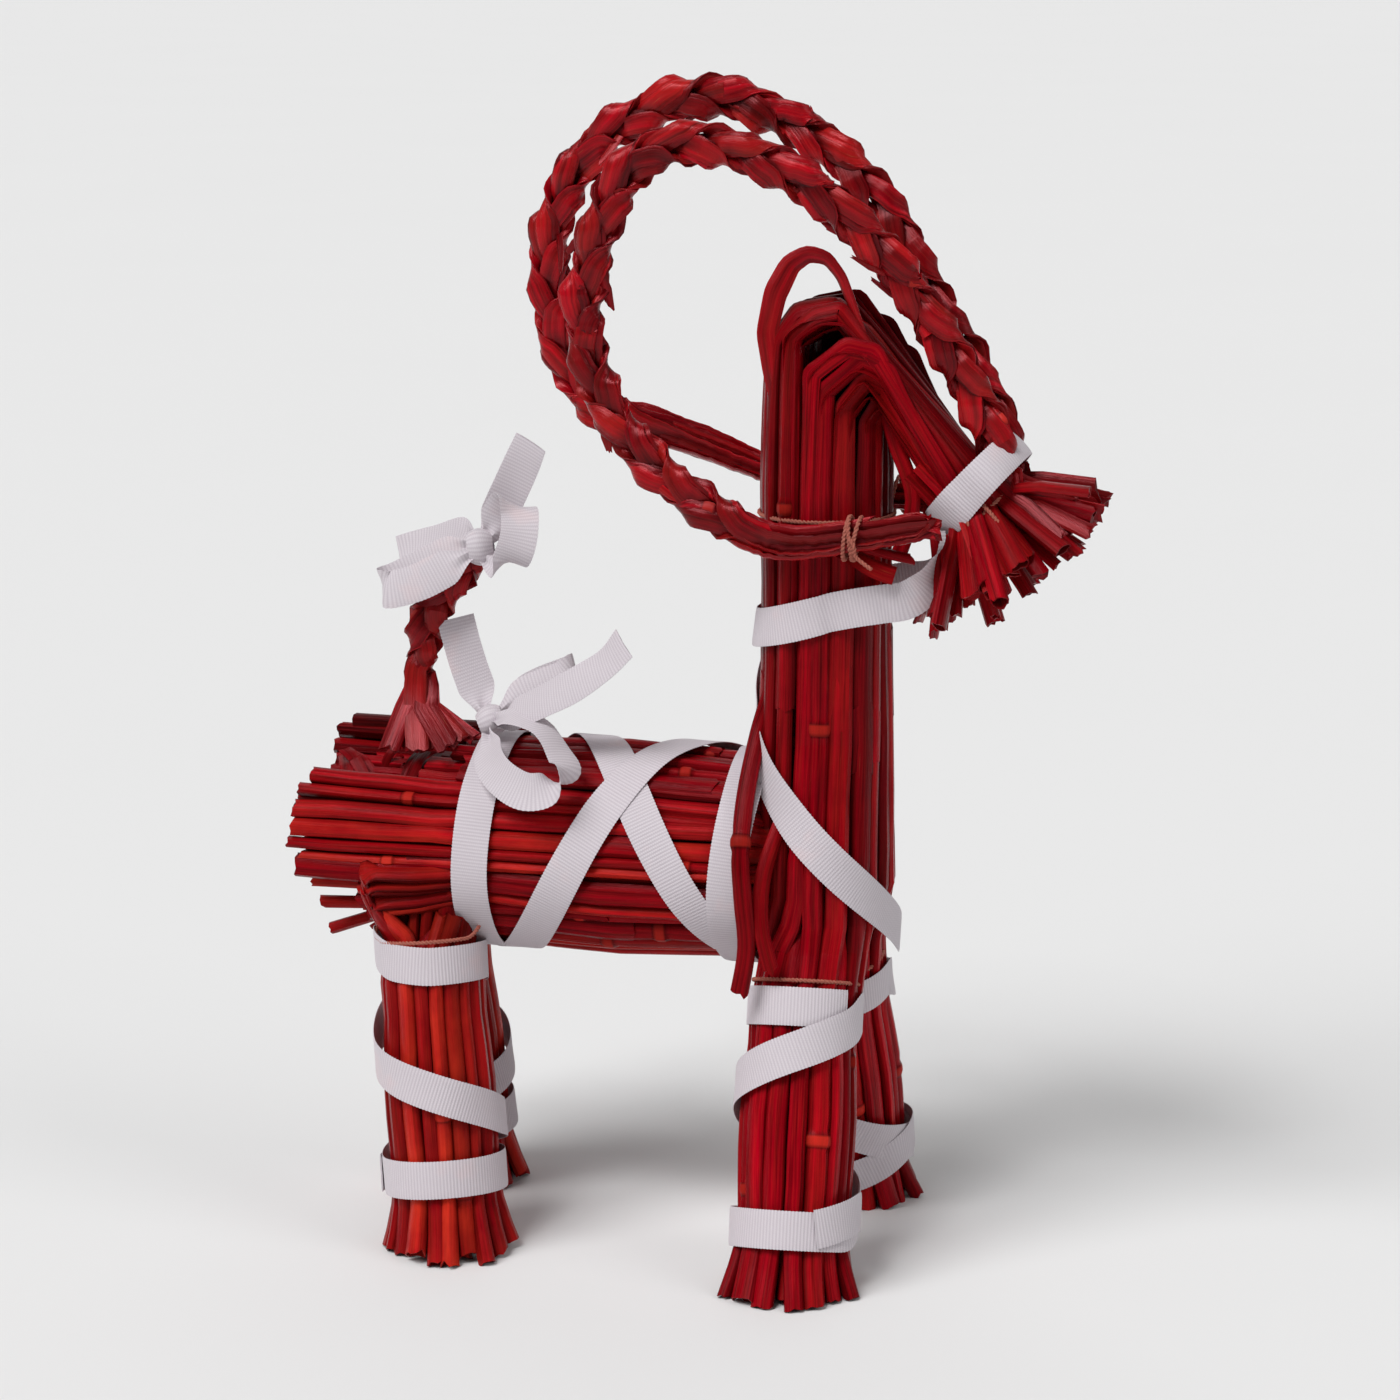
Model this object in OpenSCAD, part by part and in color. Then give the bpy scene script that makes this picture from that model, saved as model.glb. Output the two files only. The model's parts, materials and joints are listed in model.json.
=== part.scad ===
// Straw yule goat: bundles of dyed straw bound with white ribbon, with two braided horns and a braided tail.
// The goat faces +X, its right side is -Y and it stands on Z = 0. All sizes are in millimetres.

/* [Body] */
// Diameter of the body bundle at its middle
body_d = 57; // [50:1:64]
// Height of the body bundle's axis above the floor
body_z = 105.5; // [102:0.5:112]
// How far the rump is behind the origin
rump_x = 107; // [98:1:112]

/* [Neck and head] */
// Diameter of the neck bundle
neck_d = 37; // [32:1:40]
// How far the neck's axis is ahead of the origin
neck_x = 34; // [32:1:36]
// Height of the top of the folded stalks
head_z = 256.5; // [250:0.5:262]
// Slope of the muzzle below the horizontal, in degrees
muzzle_slope = 50; // [44:1:56]
// Radius of the muzzle where its ribbon holds it
muzzle_r = 13.2; // [12:0.1:14]

/* [Legs] */
// Radius of a leg at its middle
leg_r = 15.8; // [14:0.1:16.5]
// Half the distance between the middles of the front feet
front_foot_y = 40; // [36:1:44]
// Half the distance between the tops of the front legs
front_top_y = 17; // [15:1:19]

/* [Braids] */
// Half the side swing of a horn strand
horn_swing = 3.6; // [3:0.1:4]
// Length of one full turn of the horn braid
horn_pitch = 40; // [34:1:46]
// Half the side swing of a tail strand
tail_swing = 2.6; // [2.2:0.1:3]
// Length of one full turn of the tail braid
tail_pitch = 26; // [22:1:30]

/* [Ribbon and twine] */
// Width of the ribbon
ribbon_w = 10; // [8:0.5:12]
// Thickness of the ribbon
ribbon_t = 0.6; // [0.4:0.1:0.8]
// Diameter of the binding twine
twine_d = 1.3; // [1:0.1:1.6]
// Diameter of a loose straw stalk
stalk_d = 5; // [4:0.5:6]

/* [Hidden] */

straw_red = "firebrick";
dark_straw = "darkred";
ribbon_white = "whitesmoke";
twine_pink = "rosybrown";

gap = 0.15;                       // clearance of a ribbon from what it wraps
layer = ribbon_t + 0.2;           // radius gained where one ribbon lies over another
neck_r = neck_d / 2;
leg_top_z = 84;                   // where the neck bundle divides into the front legs
muzzle_at = [73, 0, 204];         // middle of the muzzle under its ribbon
rump_step_x = -89;                // the lowest stalks of the body end here
rump_step_z = 99;
ribbon_ring_x = [-55, 15];        // places of the rear and front ribbon rings on the body

// Radius along each bundle: distance along its axis, then radius.
body_rows = [[-rump_x, body_d / 2 + 0.8], [-80, body_d / 2 + 0.3], [-55, body_d / 2 - 0.9],
    [-20, body_d / 2], [15, body_d / 2 - 1.5], [22, body_d / 2 - 2.5]];
leg_rows = [[-8, leg_r + 3.2], [0, leg_r + 1.5], [8, leg_r - 0.2], [16, leg_r - 1.2], [27, leg_r - 0.4],
    [42, leg_r], [58, leg_r - 0.4], [72, leg_r - 1.4], [104, leg_r - 1.2]];
neck_rows = [[leg_top_z, neck_r + 1], [130, neck_r + 0.3], [174, neck_r - 0.5], [203, neck_r], [232, neck_r]];
muzzle_rows = [[-50, 0], [-48, 5], [-40, 8.5], [-30, 11], [-15, 13], [0, muzzle_r], [6, muzzle_r + 0.6],
    [13, 18], [20, 23], [24, 24.5], [29, 20], [33, 10], [34, 0]];

horn_braided = (6 + 7 / 12) * horn_pitch;    // the strands run straight after this length

// Horn and tail routes.
horn_right_route = [[84.5, -5.5, 213], [76, -6, 228], [60, -9, 254], [42, -12, 276], [22, -14, 289],
    [0, -14, 294], [-17, -14, 284], [-27, -14, 256], [-24, -15, 234], [-13, -18, 217], [6, -21, 203],
    [26, -23, 194], [48, -23, 196], [68, -23, 200]];
horn_left_route = [[84.5, 5.5, 213], [76, 6, 228], [60, 10, 253], [44, 13, 279], [18, 16, 299],
    [-8, 17, 303], [-32, 18, 292], [-45, 18, 270], [-45, 18, 243], [-33, 19, 222], [-8, 21, 213],
    [16, 23, 204], [38, 23, 200], [60, 23, 199]];
tail_route = [[-68, 0, 137.5], [-75, 0, 142], [-79, 0, 151], [-79, 0, 160], [-78, 0, 169], [-72, 0, 177],
    [-63, 0, 184]];

// ---- Vectors and smooth curves ----
function unit(v) = v / norm(v);
function across(v, t) = unit(v - (v * t) * t);
function tangent(p, i) = unit(p[min(i + 1, len(p) - 1)] - p[max(i - 1, 0)]);
function spline_point(p, i, t) =
    let (a = p[max(i - 1, 0)], b = p[i], c = p[i + 1], d = p[min(i + 2, len(p) - 1)])
    0.5 * (2 * b + (c - a) * t + (2 * a - 5 * b + 4 * c - d) * t * t + (3 * b - a - 3 * c + d) * t * t * t);
function smooth(p, n) = concat([for (i = [0 : len(p) - 2], k = [0 : n - 1]) spline_point(p, i, k / n)],
    [p[len(p) - 1]]);
function route_length(p, i) = i == 0 ? 0 : route_length(p, i - 1) + norm(p[i] - p[i - 1]);

// ---- Solids swept through rings of points ----
// The two broad faces of a ribbon are split along the same diagonals, so that it keeps its thickness.
module sweep(rings, closed = false) {
    n = len(rings[0]);
    m = len(rings);
    last = closed ? m - 1 : m - 2;
    sides = [for (i = [0 : last], j = [0 : n - 1])
        let (a = i * n, b = (i + 1) % m * n, k = (j + 1) % n)
        each j < n / 2 ? [[a + j, a + k, b + k], [a + j, b + k, b + j]]
            : [[a + j, a + k, b + j], [a + k, b + k, b + j]]];
    caps = closed ? [] : [[for (j = [n - 1 : -1 : 0]) j], [for (j = [0 : n - 1]) (m - 1) * n + j]];
    polyhedron(points = [for (r = rings) each r], faces = concat(sides, caps), convexity = 8);
}

// One ring of a ribbon: centre, width direction and outward normal.
function band(c, w, n) = [for (k = [[-1, 0], [-1, 1], [1, 1], [1, 0]]) c + k[0] * ribbon_w / 2 * w + k[1] * ribbon_t * n];

// A ribbon along a free curve. wide gives its width direction at both ends.
module free_ribbon(points, wide_a, wide_b, n = 5) {
    p = smooth(points, n);
    last = len(p) - 1;
    sweep([for (i = [0 : last])
        let (t = tangent(p, i), w = across((1 - i / last) * wide_a + i / last * wide_b, t))
        band(p[i], w, cross(t, w))]);
}

// A ribbon wound on a bundle whose axis is +Z. turns rows are angle, height and layers below.
module wound_ribbon(rows, turns, step = 10, reach = 0) {
    from = turns[0][0];
    to = turns[len(turns) - 1][0];
    count = round((to - from) / step);
    heights = [for (t = turns) [t[0], t[1]]];
    lifts = [for (t = turns) [t[0], t[2]]];
    place = function (a) let (z = lookup(a, heights), r = max([for (k = [-1, 0, 1])
            lookup(z + k * ribbon_w / 2, rows)]) + gap + reach + layer * lookup(a, lifts))
        [r * cos(a), r * sin(a), z];
    p = [for (i = [0 : count]) place(from + (to - from) * i / count)];
    sweep([for (i = [0 : count])
        let (a = from + (to - from) * i / count, out = [cos(a), sin(a), 0], t = tangent(p, i))
        band(p[i], across(cross(t, out), t), out)]);
}

// One flattened strand of a three-strand braid along a route. The braid lies flat across the Y axis,
// and its strands run straight once they have gone as far as free_from.
module braid_strand(strand, route, n, swing, depth, wide, thick, pitch, free_from) {
    p = smooth(route, n);
    dist = [for (i = [0 : len(p) - 1]) route_length(p, i)];
    path = [for (i = [0 : len(p) - 1])
        let (a = 360 * min(dist[i], free_from) / pitch + 120 * strand,
            t = tangent(p, i), y = across([0, 1, 0], t))
        p[i] + swing * sin(a) * cross(t, y) + depth * sin(2 * a) * y];
    sweep([for (i = [0 : len(path) - 1])
        let (t = tangent(path, i), y = across([0, 1, 0], t), u = cross(t, y))
        [for (k = [0 : 7]) path[i] + wide * cos(45 * k) * u + thick * sin(45 * k) * y]]);
}

module profile(rows) {
    last = len(rows) - 1;
    rotate_extrude($fn = 64)
        polygon(concat([[0, rows[0][0]]], [for (r = rows) [r[1], r[0]]], [[0, rows[last][0]]]));
}

module point_up(from, to) {
    d = unit(to - from);
    translate(from) rotate(a = acos(d[2]), v = cross([0, 0, 1], d)) children();
}

module twine_ring(r) {
    rotate_extrude($fn = 48) translate([r + twine_d / 2, 0]) circle(d = twine_d, $fn = 16);
}

// ---- Body ----
module along_body() translate([0, 0, body_z]) rotate([0, 90, 0]) children();
module body_shape(extra = 0) along_body() profile([for (r = body_rows) [r[0], r[1] + extra]]);

module body_bundle() color(straw_red) difference() {
    body_shape();
    translate([neck_x, 0, 0]) cylinder(r = neck_r + 1.4, h = 200, $fn = 64);
    translate([-rump_x - 1, -body_d, 0]) cube([rump_x + 1 + rump_step_x, 2 * body_d, rump_step_z]);
}

// Rows are Y, height at the step and droop in degrees.
module rump_stray_stalks() color(straw_red)
    for (s = [[-20, 95, 1], [-16, 89, 3], [-9, 86, 22], [4, 92, 5], [13, 95, 2]])
        translate([rump_step_x - 0.2, s[0], s[1]]) rotate([0, -90 - s[2], 0])
            cylinder(d = stalk_d - 0.4, h = 14, $fn = 24);

// ---- Neck and head ----
module neck_shape(extra = 0) translate([neck_x, 0, 0]) profile(concat(
    [for (r = neck_rows) [r[0], r[1] + extra]],
    [for (a = [15 : 15 : 75]) [232 + (head_z - 232 + extra) * sin(a), (neck_r + extra) * cos(a)]],
    [[head_z + extra, 2]]));
module neck_bundle() color(straw_red) neck_shape();

module along_muzzle() translate(muzzle_at) rotate([0, 90 + muzzle_slope, 0]) children();
module muzzle_bundle() color(straw_red) difference() {
    along_muzzle() profile(muzzle_rows);
    neck_shape(0.1);
}

module crown_loop_stalk() color(dark_straw) {
    p = smooth([[14, -8, 236], [18, -6, 250], [24, -3, 259], [30, 0, 262.5], [37, -3, 260], [42, -5, 253]], 4);
    sweep([for (i = [0 : len(p) - 1])
        let (t = tangent(p, i), y = across([0, 1, 0], t), u = cross(t, y))
        [for (k = [0 : 7]) p[i] + 0.8 * cos(45 * k) * u + stalk_d / 2 * sin(45 * k) * y]]);
}

// ---- Legs: side is -1 on the right and 1 on the left ----
function front_foot(side) = [35, side * front_foot_y, 0];
function front_top(side) = [33, side * front_top_y, 71];
function hind_foot(side) = side < 0 ? [-61, -32, 0] : [-75, 22, 0];
function hind_top(side) = side < 0 ? [-69, -21, 78] : [-80, 16, 78];

module front_leg(side) color(straw_red) intersection() {
    point_up(front_foot(side), front_top(side)) profile(leg_rows);
    translate([-20, side > 0 ? 0.15 : -100.15, 0]) cube([120, 100, leg_top_z - 0.1]);
}

module hind_leg(side) color(straw_red) difference() {
    intersection() {
        point_up(hind_foot(side), hind_top(side)) profile(leg_rows);
        translate([-140, side > 0 ? 0.15 : -100.15, 0]) cube([120, 100, body_z - 10]);
    }
    body_shape(0.2);
}
module front_leg_right() front_leg(-1);
module front_leg_left() front_leg(1);
module hind_leg_right() hind_leg(-1);
module hind_leg_left() hind_leg(1);

// ---- Braids ----
module horn_strand(strand, route) color(dark_straw)
    braid_strand(strand, route, 7, horn_swing, 3, 2.1, 0.95, horn_pitch, free_from = horn_braided);
module horn_right_strand_a() horn_strand(0, horn_right_route);
module horn_right_strand_b() horn_strand(1, horn_right_route);
module horn_right_strand_c() horn_strand(2, horn_right_route);
module horn_left_strand_a() horn_strand(0, horn_left_route);
module horn_left_strand_b() horn_strand(1, horn_left_route);
module horn_left_strand_c() horn_strand(2, horn_left_route);
module tail_strand(strand) color(dark_straw)
    braid_strand(strand, tail_route, 5, tail_swing, 2.3, 1.5, 0.65, tail_pitch, free_from = 10 * tail_pitch);
module tail_strand_a() tail_strand(0);
module tail_strand_b() tail_strand(1);
module tail_strand_c() tail_strand(2);

// ---- Ribbons ----
// Angles on the body run from the top (0) down the right side (90).
module body_ring(x, lift) color(ribbon_white) along_body() translate([0, 0, x]) difference() {
    cylinder(r = lookup(x, body_rows) + gap + lift * layer + ribbon_t + 0.4, h = ribbon_w, center = true, $fn = 64);
    cylinder(r = lookup(x, body_rows) + gap + lift * layer + 0.4, h = ribbon_w + 1, center = true, $fn = 64);
}
module body_ribbon_rear() body_ring(ribbon_ring_x[0], 2);
module body_ribbon_front() body_ring(ribbon_ring_x[1], 2);
module body_cross(angle_a, angle_b, lift) color(ribbon_white) along_body()
    wound_ribbon(body_rows, [[angle_a, ribbon_ring_x[0] + 3, lift], [angle_b, ribbon_ring_x[1] - 2, lift]], reach = 0.25);
module body_ribbon_cross_a() mirror([0, 1, 0]) body_cross(180 - 160, 180 + 60, 1);
module body_ribbon_cross_b() body_cross(180 - 95, 180 + 131, 0);

module along_neck() translate([neck_x, 0, 0]) children();
module chest_ribbon() color(ribbon_white) along_neck() mirror([0, 1, 0])
    wound_ribbon(neck_rows, [[-4, 88, 0], [32, 98, 0], [152, 140, 0], [222, 163, 0]]);

module muzzle_ribbon() color(ribbon_white) along_muzzle()
    sweep([for (a = [0 : 12 : 348])
        let (top = max(0, -cos(a)), r = muzzle_r + 1.2 + 8.4 * top * top, out = [cos(a), sin(a), 0])
        band(r * out, [0, 0, 1], out)], closed = true);

module throat_ribbon() color(ribbon_white) {
    half = [[69.5, -11, 190], [67.5, -13.5, 185], [63, -16, 181], [56, -17.5, 179]];
    around = [for (a = [60 : 15 : 300]) let (r = lookup(174, neck_rows) + 1)
        [neck_x + r * cos(a), -r * sin(a), 174 + 5.5 * cos(a)]];
    other = [for (i = [3 : -1 : 0]) [half[i][0], -half[i][1], half[i][2]]];
    p = concat(half, around, other);
    sweep([for (i = [0 : len(p) - 1])
        let (t = tangent(p, i), w = across([0.2, 0, 1], t)) band(p[i], w, cross(w, t))]);
}

// Angles on a leg run from the front (0) round the outer side.
module front_leg_ribbon(side) color(ribbon_white) point_up(front_foot(side), front_top(side)) scale([1, side, 1])
    wound_ribbon(leg_rows, [[-330, 73, 0], [0, 73, 0.9], [20, 69, 1], [180, 50, 1.2], [340, 22, 1.4],
        [380, 15.5, 1.5], [700, 15.5, 2.5], [760, 16.5, 2.7]]);
module hind_leg_ribbon(side) color(ribbon_white) point_up(hind_foot(side), hind_top(side)) scale([-1, side, 1])
    wound_ribbon(leg_rows, [[-90, 70, 0], [0, 74, 0], [90, 77, 0], [180, 74, 0], [240, 72, 0.2], [270, 70, 1],
        [330, 64, 1], [375, 54, 1], [540, 35, 1], [700, 23.5, 1], [740, 20.5, 1], [1040, 20.5, 1.1],
        [1060, 20.5, 2], [1100, 21, 2.1]]);
module front_leg_ribbon_right() front_leg_ribbon(-1);
module front_leg_ribbon_left() front_leg_ribbon(1);
module hind_leg_ribbon_right() hind_leg_ribbon(-1);
module hind_leg_ribbon_left() hind_leg_ribbon(1);

// ---- Bows ----
rump_knot = [-56, -7, 139.5];
tail_knot = [-58, -3, 189];
module knot(at, tilt) color(ribbon_white) translate(at) rotate(tilt)
    profile([[-4, 1], [-3.2, 2.6], [0, 3.4], [3.2, 2.6], [4, 1]]);
module bow_piece(knot_at, points, wide_a, wide_b) color(ribbon_white)
    free_ribbon([for (q = points) knot_at + q], wide_a, wide_b);

module rump_bow_knot() knot(rump_knot, [60, 0, 0]);
module rump_bow_loop_front() bow_piece(rump_knot, [[3.5, -4.5, 1], [12, -13, 3], [24, -22, -1], [32, -27, -8],
    [26, -29, -14], [14, -25, -11], [4, -17, -4], [1, -8, -2]], [0.4, 0.5, 0.8], [0.5, 0.3, 0.8]);
module rump_bow_loop_back() bow_piece(rump_knot, [[4.5, 0, 2], [12, 3, 7], [20, 6, 12], [22, 9, 15], [18, 10, 14],
    [10, 7, 9], [3, 4, 4]], [0, 0.7, 0.7], [0, 0.7, 0.7]);
module rump_bow_tail_front() bow_piece(rump_knot, [[4.8, -2.5, -0.5], [14, -8, 5], [26, -12, 13], [36, -14, 20],
    [42, -15, 28]], [0.2, 0.8, 0.6], [0.7, 0.6, 0.3]);
module rump_bow_tail_back() bow_piece(rump_knot, [[-4, 3, 2.5], [-7, 5, 9], [-10, 6, 17], [-12, 7, 26]],
    [0.6, 0.8, 0], [0.8, 0.5, 0.2]);

module tail_bow_knot() knot(tail_knot, [0, 50, 0]);
module tail_bow_loop_front() bow_piece(tail_knot, [[3.5, -4, 1.5], [9, -9, 6], [16, -10, 7], [18, -9, 1], [14, -8, -6],
    [7, -6, -7], [3.5, -4, -4.5]], [0.2, 0.9, 0.2], [0.2, 0.9, 0.2]);
module tail_bow_loop_back() bow_piece(tail_knot, [[-4, -2, 2], [-12, -4, -1], [-22, -5, -8], [-27, -5, -15],
    [-22, -5, -18], [-13, -4, -12], [-6, -4, -5.5]], [0.1, 0.9, 0.3], [0.1, 0.9, 0.3]);
module tail_bow_tail_up() bow_piece(tail_knot, [[1, 3, 5], [2, 6, 12], [5, 7, 19], [10, 6, 27]],
    [0.8, 0.5, 0], [0.8, 0.3, -0.3]);
module tail_bow_tail_back() bow_piece(tail_knot, [[-4, 4, 2], [-12, 8, 1], [-20, 11, -3], [-27, 12, -5]],
    [0, 0.6, 0.8], [0, 0.5, 0.8]);

// ---- Twine ----
module horn_tie(side) color(twine_pink) translate([46, side * 23, side < 0 ? 195.8 : 199.6]) rotate([0, 90, 0])
    for (k = [-1, 1]) translate([0, 0, k * 1.2]) twine_ring(6.3);
module horn_tie_right() horn_tie(-1);
module horn_tie_left() horn_tie(1);
module neck_twine() color(twine_pink) along_neck() translate([0, 0, 205]) twine_ring(neck_r + 0.1);
module muzzle_twine() color(twine_pink) along_muzzle() translate([0, 0, 7.5]) twine_ring(muzzle_r + 1.6);
module leg_tie(side, from, to, height, inner) color(twine_pink) intersection() {
    point_up(from, to) translate([0, 0, height]) twine_ring(lookup(height, leg_rows) + 0.1);
    translate([-140, side > 0 ? inner : -100 - inner, 0]) cube([200, 100, body_z]);
}
module front_leg_tie(side) leg_tie(side, front_foot(side), front_top(side), 79.8, 0.15);
module hind_leg_tie(side) difference() {
    leg_tie(side, hind_foot(side), hind_top(side), 84, side < 0 ? 18 : 13);
    color(twine_pink) body_shape(0.2);
}
module front_leg_tie_right() front_leg_tie(-1);
module front_leg_tie_left() front_leg_tie(1);
module hind_leg_tie_right() hind_leg_tie(-1);
module hind_leg_tie_left() hind_leg_tie(1);

body_bundle();
rump_stray_stalks();
neck_bundle();
muzzle_bundle();
crown_loop_stalk();
front_leg_right();
front_leg_left();
hind_leg_right();
hind_leg_left();
horn_right_strand_a();
horn_right_strand_b();
horn_right_strand_c();
horn_left_strand_a();
horn_left_strand_b();
horn_left_strand_c();
tail_strand_a();
tail_strand_b();
tail_strand_c();
muzzle_ribbon();
throat_ribbon();
chest_ribbon();
body_ribbon_rear();
body_ribbon_front();
body_ribbon_cross_a();
body_ribbon_cross_b();
front_leg_ribbon_right();
front_leg_ribbon_left();
hind_leg_ribbon_right();
hind_leg_ribbon_left();
rump_bow_knot();
rump_bow_loop_front();
rump_bow_loop_back();
rump_bow_tail_front();
rump_bow_tail_back();
tail_bow_knot();
tail_bow_loop_front();
tail_bow_loop_back();
tail_bow_tail_up();
tail_bow_tail_back();
horn_tie_right();
horn_tie_left();
neck_twine();
muzzle_twine();
front_leg_tie_right();
front_leg_tie_left();
hind_leg_tie_right();
hind_leg_tie_left();
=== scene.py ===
"""A red straw yule goat: bound stalks, braided horns and tail, woven white tape and thin twine.

The goat faces +X and stands on Z = 0. Shapes are worked out in millimetres and become metres in make().
"""
import json
import math

import bpy
import numpy as np
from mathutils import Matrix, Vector


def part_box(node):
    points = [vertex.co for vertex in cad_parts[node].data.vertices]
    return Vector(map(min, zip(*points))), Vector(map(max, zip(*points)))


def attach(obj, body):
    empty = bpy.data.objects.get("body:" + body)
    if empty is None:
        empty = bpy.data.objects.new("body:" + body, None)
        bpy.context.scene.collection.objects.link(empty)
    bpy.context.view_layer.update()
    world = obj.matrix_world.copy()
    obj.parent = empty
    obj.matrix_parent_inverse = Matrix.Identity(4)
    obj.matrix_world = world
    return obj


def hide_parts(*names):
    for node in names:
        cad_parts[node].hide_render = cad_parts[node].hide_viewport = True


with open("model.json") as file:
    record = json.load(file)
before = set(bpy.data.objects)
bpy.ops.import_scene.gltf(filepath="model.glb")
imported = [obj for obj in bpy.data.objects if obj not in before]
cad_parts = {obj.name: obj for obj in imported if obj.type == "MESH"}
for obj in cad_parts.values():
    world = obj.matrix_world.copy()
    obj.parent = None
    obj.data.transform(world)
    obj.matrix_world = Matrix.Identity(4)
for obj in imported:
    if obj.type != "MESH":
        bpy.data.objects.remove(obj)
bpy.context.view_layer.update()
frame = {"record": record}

MM = 0.001
X, Y, Z = np.eye(3)


def node_box(node):
    """Lowest and highest corner of a CAD node, in millimetres."""
    low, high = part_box(node)
    return np.array(low) / MM, np.array(high) / MM


def mount(name):
    """Where a mount is, in millimetres."""
    return next(np.array(m["pos_m"]) / MM for m in frame["record"]["mounts"] if m["name"] == name)


# ---- Sizes from the frame ----
body_low, body_high = node_box("body_bundle")
neck_low, neck_high = node_box("neck_bundle")
ring_low, ring_high = node_box("body_ribbon_rear")

rump_x = body_low[0]
body_z = (body_low[2] + body_high[2]) / 2
body_r = (body_high[1] - body_low[1]) / 2 - 0.8     # the body spreads a little at the rump
neck_x = (neck_low[0] + neck_high[0]) / 2
neck_r = (neck_high[0] - neck_low[0]) / 2 - 1       # and the neck where it divides
leg_top_z = neck_low[2]
tape_w = ring_high[0] - ring_low[0]
leg_r = 15.8
stalk_r = 2.3

# Each leg: its tie's node, its foot, the middle of its top, and how far up from the foot the tie is.
LEGS = [("front_leg_tie_right", mount("front_right_foot"), np.array([33.0, -17.0, 71.0]), 79.8),
        ("front_leg_tie_left", mount("front_left_foot"), np.array([33.0, 17.0, 71.0]), 79.8),
        ("hind_leg_tie_right", mount("hind_right_foot"), np.array([-69.0, -21.0, 78.0]), 83.5),
        ("hind_leg_tie_left", mount("hind_left_foot"), np.array([-80.0, 16.0, 78.0]), 83.5)]

# ---- Tape ----
tape_t = 0.34              # thickness
rib_pitch = 0.9            # distance between the cross ribs
rib_h = 0.045              # how far a rib stands out
tape_gap = 0.35            # between straw and tape
tape_layer = 0.6           # one tape over another


# ---- Vectors and curves ----
def any_angle(rng):
    """A random angle in a full turn."""
    return rng.uniform(0, 6.28)


def heading(pitch, spread=0.0):
    """The direction at a pitch above +X, turned aside by spread."""
    flat = math.cos(spread)
    return np.array([math.cos(pitch) * flat, math.sin(spread), math.sin(pitch) * flat])


def unit(v):
    return v / np.linalg.norm(v, axis=-1, keepdims=True)


def square_to(v, t):
    """The part of v that is square to the directions t, at length 1."""
    v = np.broadcast_to(v, t.shape)
    return unit(v - np.sum(v * t, axis=-1, keepdims=True) * t)


def lengths(path):
    """Distance along a path of each of its points."""
    return np.r_[0, np.cumsum(np.linalg.norm(np.diff(path, axis=0), axis=1))]


def tangents(path, closed=False):
    if closed:
        return unit(np.roll(path, -1, axis=0) - np.roll(path, 1, axis=0))
    t = np.empty_like(path)
    t[1:-1] = path[2:] - path[:-2]
    t[0], t[-1] = path[1] - path[0], path[-1] - path[-2]
    return unit(t)


def sample(at, known, values):
    """Rows of values interpolated at distances along a path."""
    values = np.asarray(values, float)
    return np.stack([np.interp(at, known, values[:, k]) for k in range(values.shape[1])], axis=1)


def spline(points, n=8):
    """A smooth curve through points, with n steps between two of them."""
    p = np.asarray(points, float)
    q = np.vstack([p[:1], p, p[-1:]])
    t = np.linspace(0, 1, n, endpoint=False)[:, None]
    parts = []
    for i in range(len(p) - 1):
        a, b, c, d = q[i:i + 4]
        parts.append(0.5 * (2 * b + (c - a) * t + (2 * a - 5 * b + 4 * c - d) * t**2
                            + (3 * b - a - 3 * c + d) * t**3))
    return np.vstack(parts + [p[-1:]])


def creased(points, cut=2.0):
    """Straight runs with short round corners, and how far along the corners are."""
    p = np.asarray(points, float)
    out, corners = [p[0]], []
    for a, b, c in zip(p[:-2], p[1:-1], p[2:]):
        back, on = a - b, c - b
        r = min(cut, 0.45 * np.linalg.norm(back), 0.45 * np.linalg.norm(on))
        start, end = b + unit(back) * r, b + unit(on) * r
        out += [start, (start + 2 * b + end) / 4, end]
        corners.append(len(out) - 2)
    out = np.array(out + [p[-1]])
    return out, lengths(out)[corners]


def smoothstep(x):
    x = np.clip(x, 0, 1)
    return x * x * (3 - 2 * x)


def even(path, step, closed=False):
    """The same path with points every step."""
    if closed:
        path = np.vstack([path, path[:1]])
    s = lengths(path)
    count = max(4, int(round(s[-1] / step)))
    return sample(np.linspace(0, s[-1], count + 1)[:count + (not closed)], s, path)


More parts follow.
